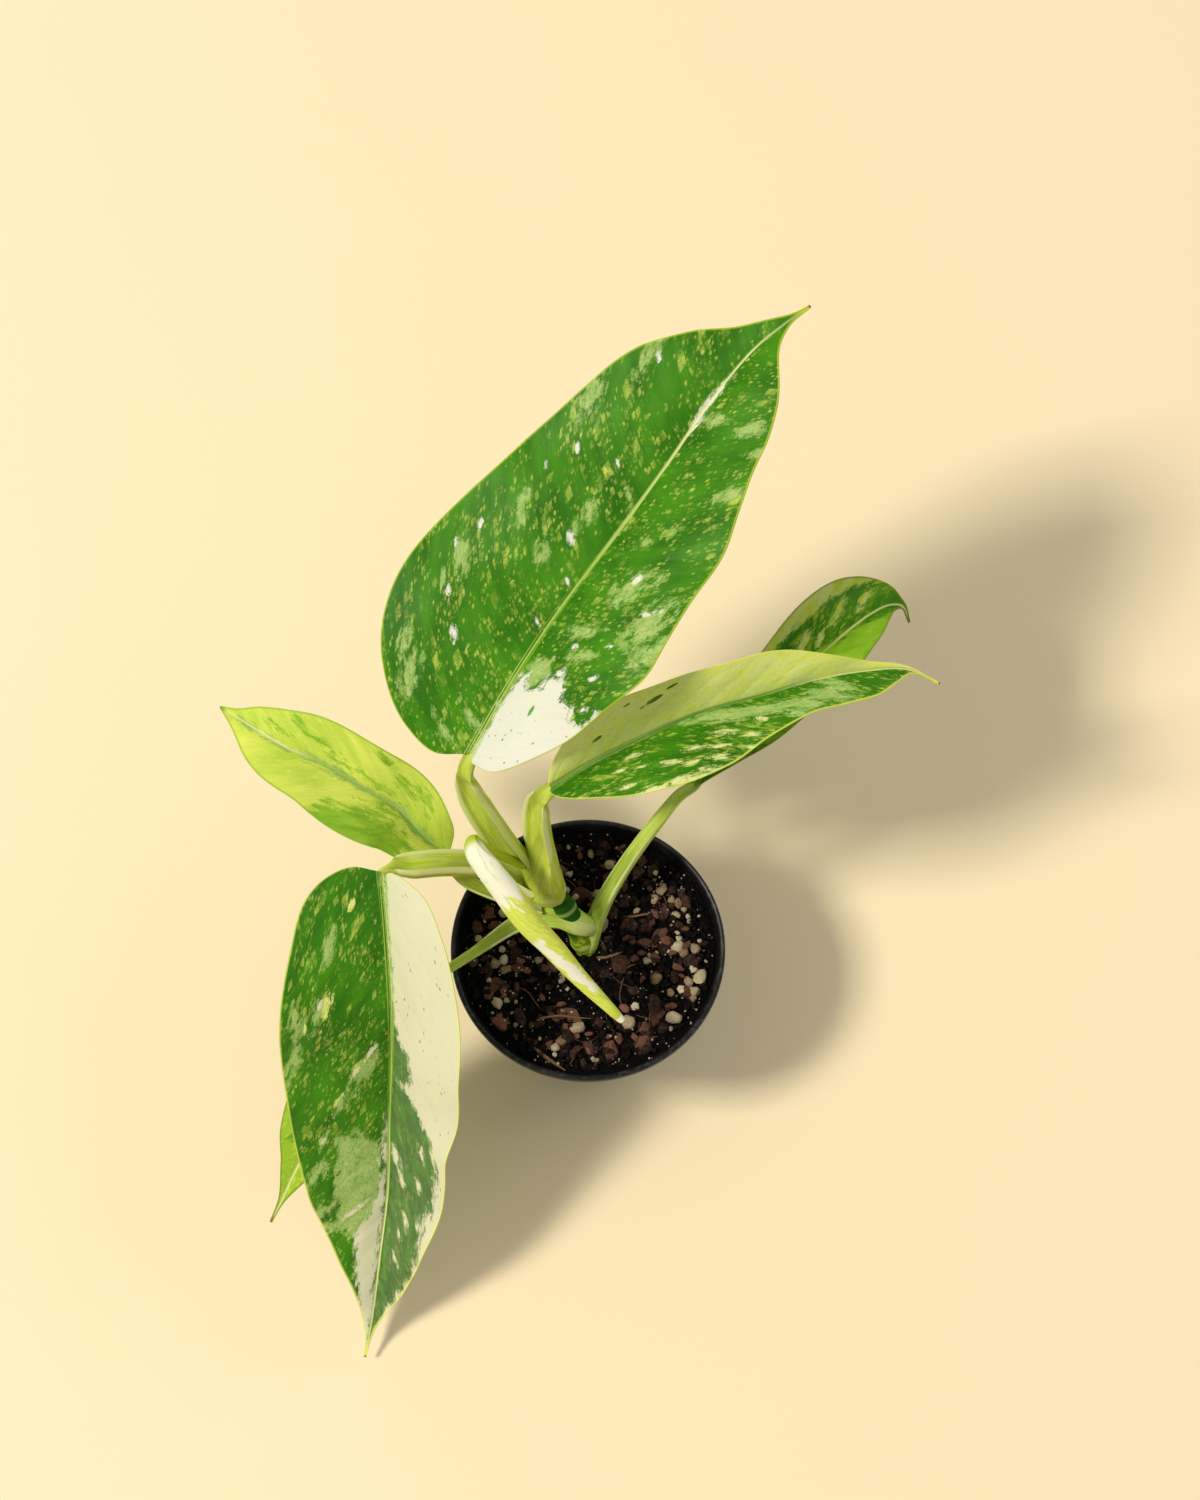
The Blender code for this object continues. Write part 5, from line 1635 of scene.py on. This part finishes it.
def build_lights(settings):
    """The key light, the fill light and an even sky."""
    add_area("key", KEY_PLACE, settings.key_size, settings.key_power, KEY_COLOUR)
    add_area("fill", FILL_PLACE, FILL_SIZE, settings.fill_power, FILL_COLOUR)
    world = bpy.data.worlds.new("sky")
    world.use_nodes = True
    background = world.node_tree.nodes["Background"]
    background.inputs["Color"].default_value = SKY_COLOUR
    background.inputs["Strength"].default_value = settings.sky
    bpy.context.scene.world = world


def build_camera():
    """The camera at the photograph's place."""
    camera = bpy.data.cameras.new("camera")
    camera.lens = CAMERA_LENS
    camera.sensor_width = CAMERA_SENSOR
    holder = bpy.data.objects.new("camera", camera)
    holder.location = CAMERA_PLACE
    holder.rotation_euler = (math.radians(CAMERA_TILT), 0, 0)
    bpy.context.scene.collection.objects.link(holder)
    bpy.context.scene.camera = holder
    bpy.context.scene.view_settings.view_transform = "Standard"


class PLANT_PT_sidebar(bpy.types.Panel):
    """Lists the pieces of the plant and their settings"""

    bl_idname = "PLANT_PT_sidebar"
    bl_label = "Potted philodendron"
    bl_space_type = "VIEW_3D"
    bl_region_type = "UI"
    bl_category = "Plant"

    def draw(self, context):
        layout = self.layout
        for group, operator in (("plant_pot", "plant.build_pot"), ("plant_mix", "plant.build_mix"),
                                ("plant_foliage", "plant.build_stem"),
                                ("plant_stage", "plant.build_stage")):
            box = layout.box()
            box.operator(operator)
            settings = getattr(context.scene, group)
            for name in settings.bl_rna.properties.keys():
                if name not in ("rna_type", "name"):
                    box.prop(settings, name)
        layout.operator_menu_enum("plant.build_leaf", "leaf")
        layout.operator("plant.build_rolled_leaf")


CLASSES = (PLANT_PG_foliage, PLANT_PG_pot, PLANT_PG_mix, PLANT_PG_stage, PLANT_OT_pot, PLANT_OT_mix,
           PLANT_OT_stem, PLANT_OT_leaf, PLANT_OT_rolled_leaf, PLANT_OT_stage, PLANT_PT_sidebar)
GROUPS = {
    "plant_foliage": PLANT_PG_foliage,
    "plant_pot": PLANT_PG_pot,
    "plant_mix": PLANT_PG_mix,
    "plant_stage": PLANT_PG_stage,
}


def register():
    """Add the classes, and the settings to every scene."""
    for item in CLASSES:
        bpy.utils.register_class(item)
    for name, group in GROUPS.items():
        setattr(bpy.types.Scene, name, PointerProperty(type=group))


def unregister():
    """Take the settings and the classes away again."""
    for name in GROUPS:
        delattr(bpy.types.Scene, name)
    for item in reversed(CLASSES):
        bpy.utils.unregister_class(item)


def main():
    """Build every piece and the stage."""
    register()
    bpy.ops.plant.build_pot()
    bpy.ops.plant.build_mix()
    bpy.ops.plant.build_stem()
    for name in BLADES:
        bpy.ops.plant.build_leaf(leaf=name)
    bpy.ops.plant.build_rolled_leaf()
    bpy.ops.plant.build_stage()


if __name__ == "__main__":
    main()
